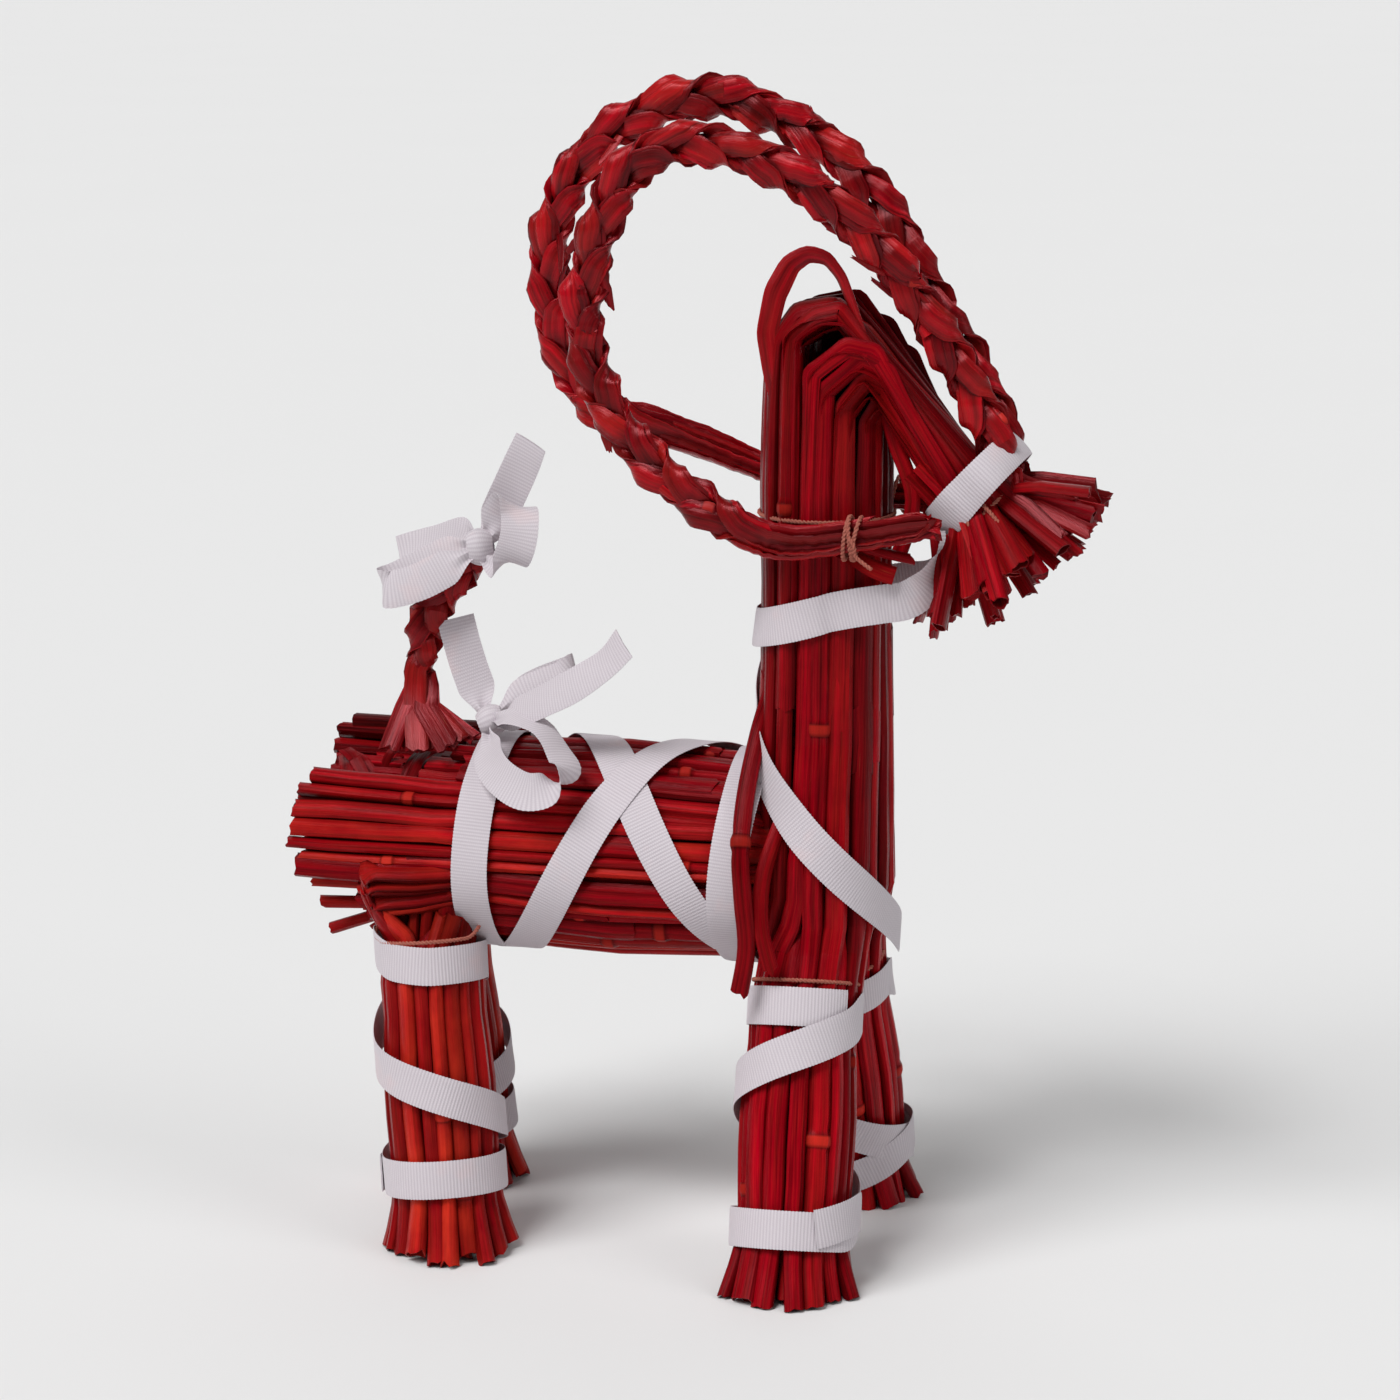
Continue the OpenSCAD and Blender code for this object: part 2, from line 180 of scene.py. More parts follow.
# ---- Meshes ----
class Shape:
    """Collects tubes into one mesh, with UVs in millimetres and a tint: lightness with painted shade,
    warmth, joint, and the painted shade of a stalk's bore.
    """

    def __init__(self):
        self.points, self.tints, self.faces = [], [], {3: [], 4: []}
        self.uvs = {3: [], 4: []}
        self.count = 0

    def add(self, points, tint):
        first = self.count
        self.points.append(points.reshape(-1, 3))
        self.tints.append(np.broadcast_to(tint, points.shape[:-1] + (4,)).reshape(-1, 4))
        self.count += len(self.points[-1])
        return first

    def tube(self, rings, along, tint, girth, offset=(0, 0), closed=False):
        """Skins rings of points. tint has a row for each ring."""
        m, n = rings.shape[:2]
        first = self.add(rings, tint[:, None, :] if np.ndim(tint) == 2 else tint)
        rows = np.arange(m if closed else m - 1)
        i, j = np.meshgrid(rows, np.arange(n), indexing="ij")
        i2, j2 = (i + 1) % m, (j + 1) % n
        quads = np.stack([i * n + j, i * n + j2, i2 * n + j2, i2 * n + j], axis=-1) + first
        u = j * girth / n + offset[0]
        v = along[i] + offset[1]
        last = along[-1] + (along[-1] - along[-2]) if closed else 0
        v2 = np.where(i2 == 0, last, along[i2]) + offset[1]
        uv = np.stack([np.stack([u, v], -1), np.stack([u + girth / n, v], -1),
                       np.stack([u + girth / n, v2], -1), np.stack([u, v2], -1)], axis=-2)
        self.faces[4].append(quads.reshape(-1, 4))
        self.uvs[4].append(uv.reshape(-1, 4, 2))
        return first

    def cap(self, ring, tint, flip, offset=(0, 0)):
        """Closes a ring with a fan."""
        n = len(ring)
        middle = ring.mean(axis=0)
        first = self.add(np.vstack([ring, middle]), tint)
        j = np.arange(n)
        j2 = (j + 1) % n
        order = [j2, j] if flip else [j, j2]
        self.faces[3].append(np.stack(order + [np.full(n, n)], axis=-1) + first)
        flat = np.linalg.norm(ring - middle, axis=1)
        a = np.stack([flat * np.cos(j), flat * np.sin(j)], -1) + offset
        b = np.stack([flat * np.cos(j + 1), flat * np.sin(j + 1)], -1) + offset
        self.uvs[3].append(np.stack([a, b, np.broadcast_to(offset, a.shape)], axis=1))

    def mesh(self, name):
        mesh = bpy.data.meshes.new(name)
        faces = [f for size in (3, 4) for f in self.faces[size]]
        sizes = np.concatenate([np.full(len(f), f.shape[1]) for f in faces])
        loops = np.concatenate([f.ravel() for f in faces])
        points = np.concatenate(self.points)
        # Points in one place become one point, so that tubes and their ends are closed.
        _, kept, welded = np.unique((points * 500).round(), axis=0, return_index=True, return_inverse=True)
        points = points[kept] * MM
        loops = welded.ravel()[loops]
        mesh.vertices.add(len(points))
        mesh.vertices.foreach_set("co", points.ravel())
        mesh.loops.add(len(loops))
        mesh.loops.foreach_set("vertex_index", loops.astype(np.int32))
        mesh.polygons.add(len(sizes))
        mesh.polygons.foreach_set("loop_start", np.r_[0, np.cumsum(sizes)[:-1]].astype(np.int32))
        mesh.update(calc_edges=True)
        uv = mesh.uv_layers.new(name="stalk")
        uvs = [u.ravel() for size in (3, 4) for u in self.uvs[size]]
        uv.data.foreach_set("uv", np.concatenate(uvs).astype(np.float32))
        tint = mesh.color_attributes.new(name="tint", type="FLOAT_COLOR", domain="POINT")
        tint.data.foreach_set("color", np.concatenate(self.tints)[kept].ravel().astype(np.float32))
        mesh.polygons.foreach_set("use_smooth", np.ones(len(sizes), bool))
        mesh.set_sharp_from_angle(angle=math.radians(38))
        mesh.validate()
        return mesh


def make(shape, name, material, slot, *nodes):
    """Turns a shape into a piece that stands for the CAD nodes."""
    piece = bpy.data.objects.new(name, shape.mesh(name))
    bpy.context.scene.collection.objects.link(piece)
    piece.data.materials.append(material)
    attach(piece, "root")
    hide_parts(*nodes)
    return piece


# ---- One stalk of straw ----
JOINT_ROWS = np.array([-4, -2.5, -1.9, -1.7, -0.8, 0, 0.9, 1.3, 1.5, 2.6, 4])


def stalk(spans, path, wide, thick, across, tone, rng, joints=(), ends=("cut", "cut"), sides=12, folds=(),
          step=7.0, curl=0.0, painted_shade_share=1.0, core=None, light=1.0):
    """A hollow stalk along a path, in one shape or in spans of (shape, from, to).

    across is the direction of its width. A fold flattens it and spreads it; a joint swells and is more
    orange. A cut end is hollow and ragged, its bore painted dark as painted shade; a torn one is flat and
    split. curl bends a flat leaf into a gutter. Painted shade darkens the side turned into the bundle, by
    the share given; in a braid, painted shade darkens the surface near the line core.
    """
    s = lengths(path)
    total = s[-1]
    if isinstance(spans, Shape):
        spans = [(spans, 0, total)]
    extra = [JOINT_ROWS + j for j in joints] + [[f + d for d in (-6, -3, 3, 6)] for f in folds]
    extra += [[a, b] for _, a, b in spans] + [[2.5, 6, total - 6, total - 2.5]]
    at = np.concatenate([s, np.arange(0, total, step)] + extra)
    at = np.unique(np.clip(at, 0, total).round(2))
    p = sample(at, s, path)
    t = tangents(p)
    a = square_to(across if np.ndim(across) == 1 else sample(at, s, across), t)
    b = np.cross(t, a)
    w = np.interp(at, s, np.broadcast_to(wide, s.shape))
    h = np.interp(at, s, np.broadcast_to(thick, s.shape))
    warm = np.zeros(len(at))
    light = np.interp(at, s, np.broadcast_to(light, s.shape))
    for j in joints:
        d = at - j
        swell = 0.16 * np.exp(-(d / 1.6)**4) - 0.07 * np.exp(-((np.abs(d) - 3) / 1)**2)
        w, h = w * (1 + swell), h * (1 + swell)
        warm = np.maximum(warm, (d > -1.8) & (d < 1.4))
        light = light * np.where((np.abs(d + 1.8) < 0.15) | (np.abs(d - 1.4) < 0.15), 0.5, 1)
    for f in folds:
        press = np.exp(-np.abs(at - f) / 6)
        w, h = w * (1 + 0.2 * press), h * (1 - 0.62 * press)
    turn = 2 * math.pi * np.arange(sides) / sides
    phase = rng.uniform(0, 6.28, 6)
    # Each stalk is a little out of round, and that changes slowly along it.
    lump = (1 + 0.06 * np.cos(2 * turn + phase[0]) + 0.05 * np.cos(3 * turn + phase[1])
            + 0.03 * np.cos(5 * turn + phase[4]))
    slow = (0.035 * np.sin(at / 13 + phase[2])[:, None] * np.cos(turn + phase[3])
            + 0.018 * np.sin(at / 4.3 + phase[5])[:, None] * np.cos(2 * turn + phase[3]))
    out = (lump + slow)[..., None]
    gutter = curl * (0.5 - np.cos(turn)**2)
    rings = p[:, None] + out * (w[:, None, None] * np.cos(turn)[:, None] * a[:, None]
                                + (h[:, None, None] * np.sin(turn)[:, None] + gutter[:, None]) * b[:, None])
    for end, which, way in ((ends[0], 0, -1), (ends[1], -1, 1)):
        if end == "cut":
            ragged = rng.uniform(-0.5, 0.5, sides)
            ragged += 0.8 * np.cos(turn + any_angle(rng)) * rng.uniform(0, 1)
            if rng.random() < 0.35:
                ragged[rng.integers(sides)] -= rng.uniform(1, 2.3)
            rings[which] += way * ragged[:, None] * t[which]
        if end == "torn":
            ragged = np.interp(np.cos(turn), np.linspace(-1, 1, 6), rng.uniform(-2.6, 0.8, 6))
            rings[which] += way * ragged[:, None] * t[which]
    rings[..., 2] = np.maximum(rings[..., 2], 0)
    # Painted shade: the side turned into the bundle, or the surface near a braid's core, is painted darker.
    if core is None:
        inner_side = 1 - smoothstep((0.05 - np.sin(turn)) / 0.85)
        painted_shade = 0.72 * inner_side * np.interp(at, s, np.broadcast_to(painted_shade_share, s.shape))[:, None]
    else:
        from_core = np.linalg.norm(rings - sample(at, s, core)[:, None], axis=2)
        painted_shade = 0.75 * (1 - smoothstep((from_core - 1.3) / 2.3))
    tint = np.zeros(rings.shape[:2] + (4,))
    tint[..., 0] = tone[0] * light[:, None] * (1 - painted_shade)
    tint[..., 1] = tone[1]
    tint[..., 2] = warm[:, None]
    girth = 2 * math.pi * float(np.mean(w + h)) / 2
    offset = (rng.uniform(0, 200), rng.uniform(0, 500))
    for shape, low, high in spans:
        keep = (at >= low - 0.02) & (at <= high + 0.02)
        part, tints, place = rings[keep], tint[keep], at[keep]
        if len(part) < 2:
            continue
        shape.tube(part, place, tints, girth, offset)
        for which, flip, kind in ((0, False, ends[0] if low <= 0 else "plain"),
                                  (-1, True, ends[1] if high >= total else "plain")):
            edge, colour = part[which], tints[which].mean(axis=0)
            if kind == "cut":
                edge = hollow(shape, edge, t[keep][which] * (1 if which == 0 else -1), colour, flip, offset)
            # The cap at the bottom of a cut end's bore is painted dark: painted shade.
            shape.cap(edge, colour * (1, 1, 0, 0) + (0, 0, 0, kind == "cut"), not flip, offset)


def hollow(shape, edge, inward, tint, flip, offset, wall=0.42, depth=5.0):
    """The wall's cut face and the bore behind it, painted darker towards its bottom as painted shade.
    Returns the ring at the bore's bottom.
    """
    middle = edge.mean(axis=0)
    radius = np.linalg.norm(edge - middle, axis=1)[:, None]
    inner = middle + (edge - middle) * np.clip(1 - wall / radius, 0.3, 1)
    flat = inner - np.sum((inner - middle) * inward, axis=1, keepdims=True) * inward
    bottom = flat + inward * depth
    rings = np.stack([edge, inner, bottom])
    # The bore is painted darker towards its bottom: painted shade.
    tints = np.stack([tint * (1.25, 1, 0, 0) + (0, 0.25, 0, 0), tint * (1, 1, 0, 0) + (0, 0, 0, 0.35),
                      tint * (1, 1, 0, 0) + (0, 0, 0, 1)])
    if not flip:
        rings, tints = rings[::-1], tints[::-1]
    shape.tube(rings, np.array([0.0, 0.5, depth]), tints, 8.0, offset)
    return bottom


def tone(rng, light=(0.75, 1.2), warmth=(0.0, 0.35)):
    """How light and how orange a stalk is."""
    return rng.uniform(*light), rng.uniform(*warmth)**1.5


# ---- Bundles ----
def layers(radius, rng, first_count=None):
    """Stalks packed side by side in rings: (angle, inset, half width, half thickness, ring number)."""
    places, inset, r = [], 0.0, stalk_r
    for k in range(9):
        middle = radius - inset - r
        if middle < r:
            places.append((0.0, inset, r, r, k))
            break
        counted = first_count and k == 0
        count = first_count if counted else int(2 * math.pi * middle / (2.02 * r))
        share = rng.uniform(0.6, 1.4, count)
        share *= 2 * math.pi / share.sum()
        angle = np.cumsum(share) - share / 2 + (0 if counted else any_angle(rng))
        for a, part in zip(angle, share):
            places.append((a, inset, part * middle / 2 * 1.04, r * rng.uniform(0.85, 1.1), k))
        inset += 1.75 * r
    return places


# How much wider than its radius each bundle is at places along it.
BODY_ROWS = [(rump_x, 1.0), (-80, 0.3), (-55, -0.9), (-20, 0.3), (15, -1.5), (24, -8), (34, -12.5)]
LEG_ROWS = [(-8, 3.6), (0, 1.8), (8, -0.4), (16, -1.4), (27, -0.4), (42, 0.2), (56, -0.6), (65, -1.6),
            (80, -1.6), (104, -1.2)]
NECK_ROWS = [(leg_top_z, 1), (130, 0.3), (174, -0.5), (203, 0), (232, 0)]


def body_radius(x):
    return body_r + np.interp(x, *zip(*BODY_ROWS))


def leg_radius(s):
    return leg_r + np.interp(s, *zip(*LEG_ROWS))


def neck_radius(z):
    return neck_r + np.interp(z, *zip(*NECK_ROWS))


def body_point(x, angle, radius):
    """angle runs from the top down the right side, in degrees."""
    a = np.radians(angle)
    return np.stack(np.broadcast_arrays(x, -radius * np.sin(a), body_z + radius * np.cos(a)), axis=-1)


def body_bundle():
    """The lying bundle. The near stalks and the ends show; deeper rings only fill the cut face."""
    rng = np.random.default_rng(11)
    shape = Shape()
    trough = (-15, 38)        # the top is hollow here behind the rear tape
    step_z = 99               # lower stalks are shorter, to clear the hind legs
    for angle, inset, wide, thick, ring in layers(body_r, rng):
        angle = (math.degrees(angle) + 180) % 360 - 180
        start = rump_x + rng.uniform(-0.6, 4.5) + (1.5 if ring else 0)
        depth = body_r - inset - thick
        if body_z + depth * math.cos(math.radians(angle)) < step_z:
            start = -88 + rng.uniform(-2, 2)
        if trough[0] < angle < trough[1] and ring < 3:
            start = (-62, -70, -88)[ring] + rng.uniform(-5, 2)
        x = np.array([start, start + 12, -80, -67, -55, -38, -20, -2, 12, 18, 24, 32])
        x = np.unique(x[x >= start])
        proud = rng.uniform(-1.0, 0.45)
        drift = rng.normal(0, 0.045) if ring == 0 else 0
        radius = body_radius(x) - inset - thick + proud * np.clip(np.abs(x + 55) / 12, 0, 1)
        path = body_point(x, angle + drift * (x + 40) + rng.normal(0, 0.35, len(x)), radius)
        around = np.cross(X, path * (0, 1, 1) - (0, 0, body_z) + 1e-6)
        total = lengths(path)[-1]
        joints = [rng.uniform(14, total - 20)] if rng.random() < 0.55 and ring == 0 else []
        warmth = (0.1, 0.8) if abs(angle) > 30 else (0, 0.3)
        if ring == 0 and rng.random() < 0.3:
            loose_leaf(shape, path, wide, thick, around, rng)
        stalk(shape, path, wide, thick, around, tone(rng, warmth=warmth), rng, joints,
              ("cut", "plain"), sides=12 if ring == 0 else 8, step=8 if ring == 0 else 30)
    # A thick stalk lies along the top of the far side.
    x = np.linspace(-101, -50, 6)
    stalk(shape, body_point(x, -24, body_r + 0.9), 2.9, 2.6, Y, (0.85, 0.12), rng, ends=("cut", "plain"))
    trough_bits(shape, rng)
    return shape


def loose_leaf(shape, path, wide, thick, around, rng):
    """A dry leaf that still wraps a stretch of a stalk, with torn ends."""
    s = lengths(path)
    begin = rng.uniform(0.1, 0.6) * s[-1]
    at = np.linspace(begin, begin + rng.uniform(14, 34), 6)
    at = at[at < s[-1] - 4]
    if len(at) > 2:
        stalk(shape, sample(at, s, path), wide * 1.14, thick * 1.12, sample(at, s, around),
              tone(rng, (0.6, 1.1)), rng, ends=("torn", "torn"))


def trough_bits(shape, rng):
    """Torn leaves that cross each other in the hollow of the rump."""
    for k in range(15):
        x = -98 + 2.3 * k + rng.uniform(-1, 1)
        tilt = rng.uniform(-1, 1)
        low = np.array([x - 5 * tilt, rng.uniform(-15, -5), body_z + rng.uniform(15, 18)])
        high = np.array([x + 5 * tilt, rng.uniform(-5, 6), body_z + rng.uniform(19, 24)])
        path = spline([low, (low + high) / 2 + (0, 0, 1.5), high], 4)
        stalk(shape, path, rng.uniform(1.0, 2.0), 0.3, X, (rng.uniform(0.35, 0.8), 0.1), rng,
              sides=8, ends=("plain", "torn"), painted_shade_share=0)


def leg_frame(foot, top):
    """Axis and two directions across a leg: X-like and outwards."""
    axis = unit(top - foot)
    ahead = square_to(X, axis[None])[0]
    outward = np.cross(axis, ahead) * (1 if foot[1] > 0 else -1)
    outward = outward if outward[1] * foot[1] > 0 else -outward
    return axis, ahead, outward


def leg_point(foot, top, s, angle, radius):
    """angle runs from the outer side (0) towards the front, in radians."""
    axis, ahead, outward = leg_frame(foot, top)
    s, angle, radius = (np.asarray(q, float)[..., None] for q in (s, angle, radius))
    return foot + axis * s + radius * (np.sin(angle) * ahead + np.cos(angle) * outward)


# Places up a leg where its stalks' paths have points.
LEG_S = np.array([-8, -2, 5, 12, 18, 27, 36, 45, 54, 63, 72])


def leg_path(foot, top, angle, inset, thick, proud, rng):
    """A stalk's path up a leg, from the floor. proud lifts it between the tapes."""
    s = LEG_S
    lifted = proud * np.clip((s - 16) / 12, 0, 1) * np.clip((70 - s) / 12, 0, 1)
    radius = leg_radius(s) - inset - thick + lifted
    wander = np.cumsum(rng.normal(0, 0.007, len(s)))
    splay = rng.normal(0, 1) * np.array([0.09, 0]) if inset == 0 else np.zeros(2)
    radius = radius + np.interp(s, (-8, 18), (rng.uniform(-2.4, 3.0), 0)) * (inset == 0)
    path = leg_point(foot, top, s, angle + wander + np.interp(s, (-8, 18), splay), radius)
    floor = rng.choice([0.1, 0.3, 0.8, 2.2], p=(0.4, 0.3, 0.2, 0.1)) if inset == 0 else rng.uniform(0.5, 3)
    # Where the path crosses the floor.
    start = np.interp(floor, path[:, 2], np.arange(len(s)))
    first = sample(np.array([start]), np.arange(len(s)), path)
    return np.vstack([first, path[path[:, 2] > floor + 1.5]])


# ---- Neck, head and front legs: most stalks run from a foot up the neck and over into the muzzle ----
muzzle_at = np.array([71.3, 0.0, 204.5])
muzzle_down = math.radians(44)
muzzle_high, muzzle_broad = 9.5, 12.2      # half axes of the bundle where the tape holds it
muzzle_along = heading(-muzzle_down)
muzzle_up = heading(math.pi / 2 - muzzle_down)
NECK_PER_SIDE = 10
LEG_COUNT = 18
NECK_Z = np.array([84, 92, 100, 110, 125, 140, 160, 180, 205])

# Where stalks fold, from the back of the neck (0) to its front (1): the first crease, the one at the crown
# and the last.
FOLD_AT = (0, 0.08, 0.22, 0.33, 0.44, 0.55, 0.74, 0.9, 1)
FIRST_Z = (239, 243, 247, 246, 239, 231.5, 228.5, 224.5, 222)
CROWN_X = (25, 27, 31, 36, 41, 45.5, 47.5, 51, 53)
CROWN_Z = (250.5, 252, 251.5, 250, 245.5, 240.5, 234.5, 229, 226)
SECOND_X = (35, 37, 39, 42.5, 48, 52, 52, 54, 55)
SECOND_Z = (253.5, 254, 253.5, 250.5, 245, 237.5, 232, 227.5, 224)


def head_path(x, y, rng, layer):
    """Control points from the top of the neck over the fold, through the muzzle tape, to the flared end."""
    t = float(np.clip((x - (neck_x - neck_r + 2)) / (2 * neck_r - 4), 0, 1))
    first = np.array([x + 0.6, y, np.interp(t, FOLD_AT, FIRST_Z) - 1.8 * layer + rng.uniform(-1.2, 1.2)])
    second = np.array([np.interp(t, FOLD_AT, SECOND_X) - 1.2 * layer + rng.uniform(-1, 1), y * 0.93,
                       np.interp(t, FOLD_AT, SECOND_Z) - 1.8 * layer + rng.uniform(-0.8, 0.8)])
    crown = np.array([np.interp(t, FOLD_AT, CROWN_X) - 0.6 * layer + rng.uniform(-0.8, 0.8), y * 0.97,
                      np.interp(t, FOLD_AT, CROWN_Z) - 1.8 * layer + rng.uniform(-0.8, 0.8)])
    lift = np.interp(t, (0, 1), (8.7, -8.3))
    room = muzzle_broad * math.sqrt(max(1 - (lift / muzzle_high)**2, 0.12))
    side = y / neck_r * room * (1 if layer == 0 else 0.8)
    waist = muzzle_at + lift * muzzle_up + side * Y
    aim = math.radians(-12 - 96 * t + rng.normal(0, 6))
    spread = math.radians(42) * side / 12.5 + rng.normal(0, 0.06)
    tip = waist + rng.uniform(23, 33) * heading(aim, spread)
    after = waist + 4 * muzzle_along
    return first, crown, second, waist, after, tip


def flat_sides(path, out):
    """Width directions of a stalk that bends in the XZ plane, with the same side of it always outwards."""
    t = tangents(path)
    level = np.stack([-t[:, 2], 0 * t[:, 0], t[:, 0]], axis=1)
    return np.cross(t, -out[0] * level + out[1] * Y)


def neck_bulge(z):
    """The neck is wider from side to side where it takes in the end of the body."""
    return 1 + 0.36 * np.exp(-((np.asarray(z) - 104) / 26)**2)


def neck_share(z):
    """How much a stalk at the height z belongs to the neck (1) and not to a leg (0)."""
    return smoothstep((z - 72) / 30)


def neck_path(half, side, thick, layer, rng):
    """A stalk's path up the neck. half is its angle from the goat's side towards the front."""
    z = NECK_Z
    radius = neck_radius(z) - thick - 4.0 * layer + rng.uniform(-1.3, 0.3) + rng.normal(0, 0.12, len(z))
    sway = half + np.cumsum(rng.normal(0, 0.012, len(z)))
    y = side * radius * np.cos(sway) * neck_bulge(z)
    return np.stack([neck_x + radius * np.sin(sway), y, z], axis=1)


def long_stalk(shapes, leg, lower, place, slot, rng):
    """An outer stalk of a front leg, up the neck and over the head into the muzzle.

    slot is its place round the neck. A stalk without one runs below the others.
    """
    foot, top = leg
    angle, inset, wide, thick = place
    layer = 1 if slot is None else 0
    half = angle / 2
    if slot is not None:
        half = math.radians(-90 + (slot + 0.5) * 180 / NECK_PER_SIDE) + rng.normal(0, 0.035)
    upper = neck_path(half, math.copysign(1, foot[1]), thick, layer, rng)
    s = NECK_Z / unit(top - foot)[2]
    leg_part = leg_point(foot, top, s, angle, leg_radius(s) - inset - thick)
    mix = neck_share(NECK_Z)[:, None]
    joined = leg_part * (1 - mix) + upper * mix
    bent, folds = creased([upper[-1], *head_path(*upper[-1, :2], rng, layer)], cut=0.9)

    straight = len(lower) + len(joined) - 1
    path = np.vstack([lower, joined[:-1], bent])
    distance = lengths(path)
    total = distance[-1]
    bent_from = distance[straight]
    leg_end = np.interp(leg_top_z, path[:straight, 2], distance[:straight])
    folds = folds + bent_from
    broad = rng.uniform(2.3, 3.2)
    width = np.interp(distance, [0, 14, leg_end - 12, leg_end + 25, bent_from, folds[0], folds[3], total],
                      [1.05 * wide, wide, wide, broad, broad, 2.15, 2.2, rng.uniform(2.1, 3.3)])
    light = np.interp(distance, [0, 20, leg_end - 10, leg_end + 30, folds[3], total],
                      [1.0, 1.2, 1.2, 0.95, 0.98, 1.05])
    # Painted shade on the inner side: full on the leg and neck, less at the foot and past the fold into the
    # muzzle.
    painted_shade_share = np.interp(distance, [0, 14, folds[3], folds[3] + 8], [0.4, 1, 1, 0.45])
    depth = np.interp(distance, [0, leg_end + 25, bent_from, folds[3], total],
                      [thick, thick, rng.uniform(1.5, 2.2), 1.3, rng.uniform(1.0, 1.9)])

    rise = path[:straight, 2:]
    mix = neck_share(rise)
    centre = (foot + (top - foot) * rise / top[2]) * (1 - mix) + np.array([neck_x, 0, 0]) * mix
    out = (path[:straight] - centre) * (1, 1, 0)
    across = np.vstack([np.cross(tangents(path)[:straight], unit(out)),
                        flat_sides(bent, unit((path[straight] - (neck_x, 0, 0))[:2]))])
    joints = [rng.uniform(15, leg_end - 10)] if rng.random() < 0.4 else []
    if rng.random() < 0.7:
        joints.append(rng.uniform(leg_end + 25, bent_from + 10))
    if layer == 0 and rng.random() < 0.4:
        on_neck = (distance > leg_end + 20) & (distance < bent_from)
        loose_leaf(shapes[1], path[on_neck], broad, depth[straight], across[on_neck], rng)
    marks = [0, leg_end, folds[2], total]
    stalk(list(zip(shapes, marks, marks[1:])), path, width, depth, across, tone(rng, (0.62, 1.25), (0, 0.4)),
          rng, joints, folds=folds[:3], ends=("cut", "torn" if rng.random() < 0.5 else "cut"), painted_shade_share=painted_shade_share,
          light=light)


def front_half():
    """Neck, muzzle and the two front legs."""
    neck, muzzle = Shape(), Shape()
    legs = {-1: Shape(), 1: Shape()}
    slots = {int(k * LEG_COUNT / NECK_PER_SIDE): k for k in range(NECK_PER_SIDE)}
    for (side, shape), (_, foot, top, _) in zip(legs.items(), LEGS):
        rng = np.random.default_rng(21 + side)
        for rank, (angle, inset, wide, thick, ring) in enumerate(layers(leg_r, rng, LEG_COUNT)):
            angle -= math.pi
            lower = leg_path(foot, top, angle, inset, thick, rng.uniform(-0.95, -0.4), rng)
            if ring == 0:
                long_stalk((shape, neck, muzzle), (foot, top), lower, (angle, inset, wide, thick),
                           slots.get(rank), rng)
                continue
            # Inner stalks stop inside the neck.
            inside = np.array([[neck_x + 0.4 * (lower[-1, 0] - neck_x), side * 8, 96.0]])
            stalk(shape, np.vstack([lower, inside]), wide, thick, X, tone(rng), rng, sides=8,
                  ends=("cut", "plain"), step=30)
    head_core(neck, muzzle)
    muzzle_filling(muzzle)
    neck_strays(neck)
    return neck, muzzle, legs


def head_core(neck, muzzle):
    """Stalks in the middle of the folded head."""
    rng = np.random.default_rng(29)
    per_row = 8
    rows = (-0.86, -0.6, -0.2, 0.25, 0.7)       # how far out to each side, from the goat's right
    for k in range(per_row * len(rows)):
        x = neck_x + 14 * (2 * (k % per_row + 0.5) / per_row - 1)
        y = rows[k // per_row] * math.sqrt(16**2 - (x - neck_x)**2)
        over = head_path(x, y, rng, rng.uniform(0.6, 1.4))[:-1]
        bent, folds = creased([(x, y, 150), (x, y, 205), *over], cut=2.0)
        spans = [(neck, 0, folds[3]), (muzzle, folds[3], lengths(bent)[-1])]
        stalk(spans, bent, 2.9, 1.6, Y, tone(rng, (0.75, 1.1)), rng, ends=("plain", "plain"),
              folds=folds[1:4], sides=8, painted_shade_share=0.3)


# Loose stalks: points, half width, half thickness and where a joint is.
NECK_STRAYS = [
    # Beside the right front leg.
    ([(22, -9, 152), (19.2, -12.5, 141), (18.2, -22, 127), (18.8, -30, 114), (20, -32, 102),
      (21.2, -32.5, 89), (19.3, -33, 76)], 2.3, 1.7, (42,)),
    ([(27.5, -18, 122), (24, -26, 108), (24.3, -31, 95), (27.5, -31.5, 82)], 2.2, 1.2, ()),
    # At the end of the right horn.
    ([(44, -20, 194.5), (52, -21, 192.5), (61.5, -19.5, 190.3)], 1.4, 1.2, ()),
    ([(40, -19, 193), (47, -20.5, 190), (52, -20.5, 187.5), (57, -19.5, 185.8)], 2.3, 0.5, ()),
    # Inside the throat.
    ([(50, -6, 230), (54, -8, 218), (59, -10, 204), (55.5, -12, 189)], 2.2, 1.2, ()),
    ([(51, 5, 230), (57, 6, 214), (61, 6, 206), (60, 5, 194)], 2.2, 1.2, ()),
]


def neck_strays(shape):
    rng = np.random.default_rng(30)
    for points, wide, thick, joints in NECK_STRAYS:
        stalk(shape, spline(points, 5), wide, thick, (1, 0.3, 0), tone(rng, (0.7, 1.1)), rng, joints,
              ends=("plain", "torn"), painted_shade_share=0.3)


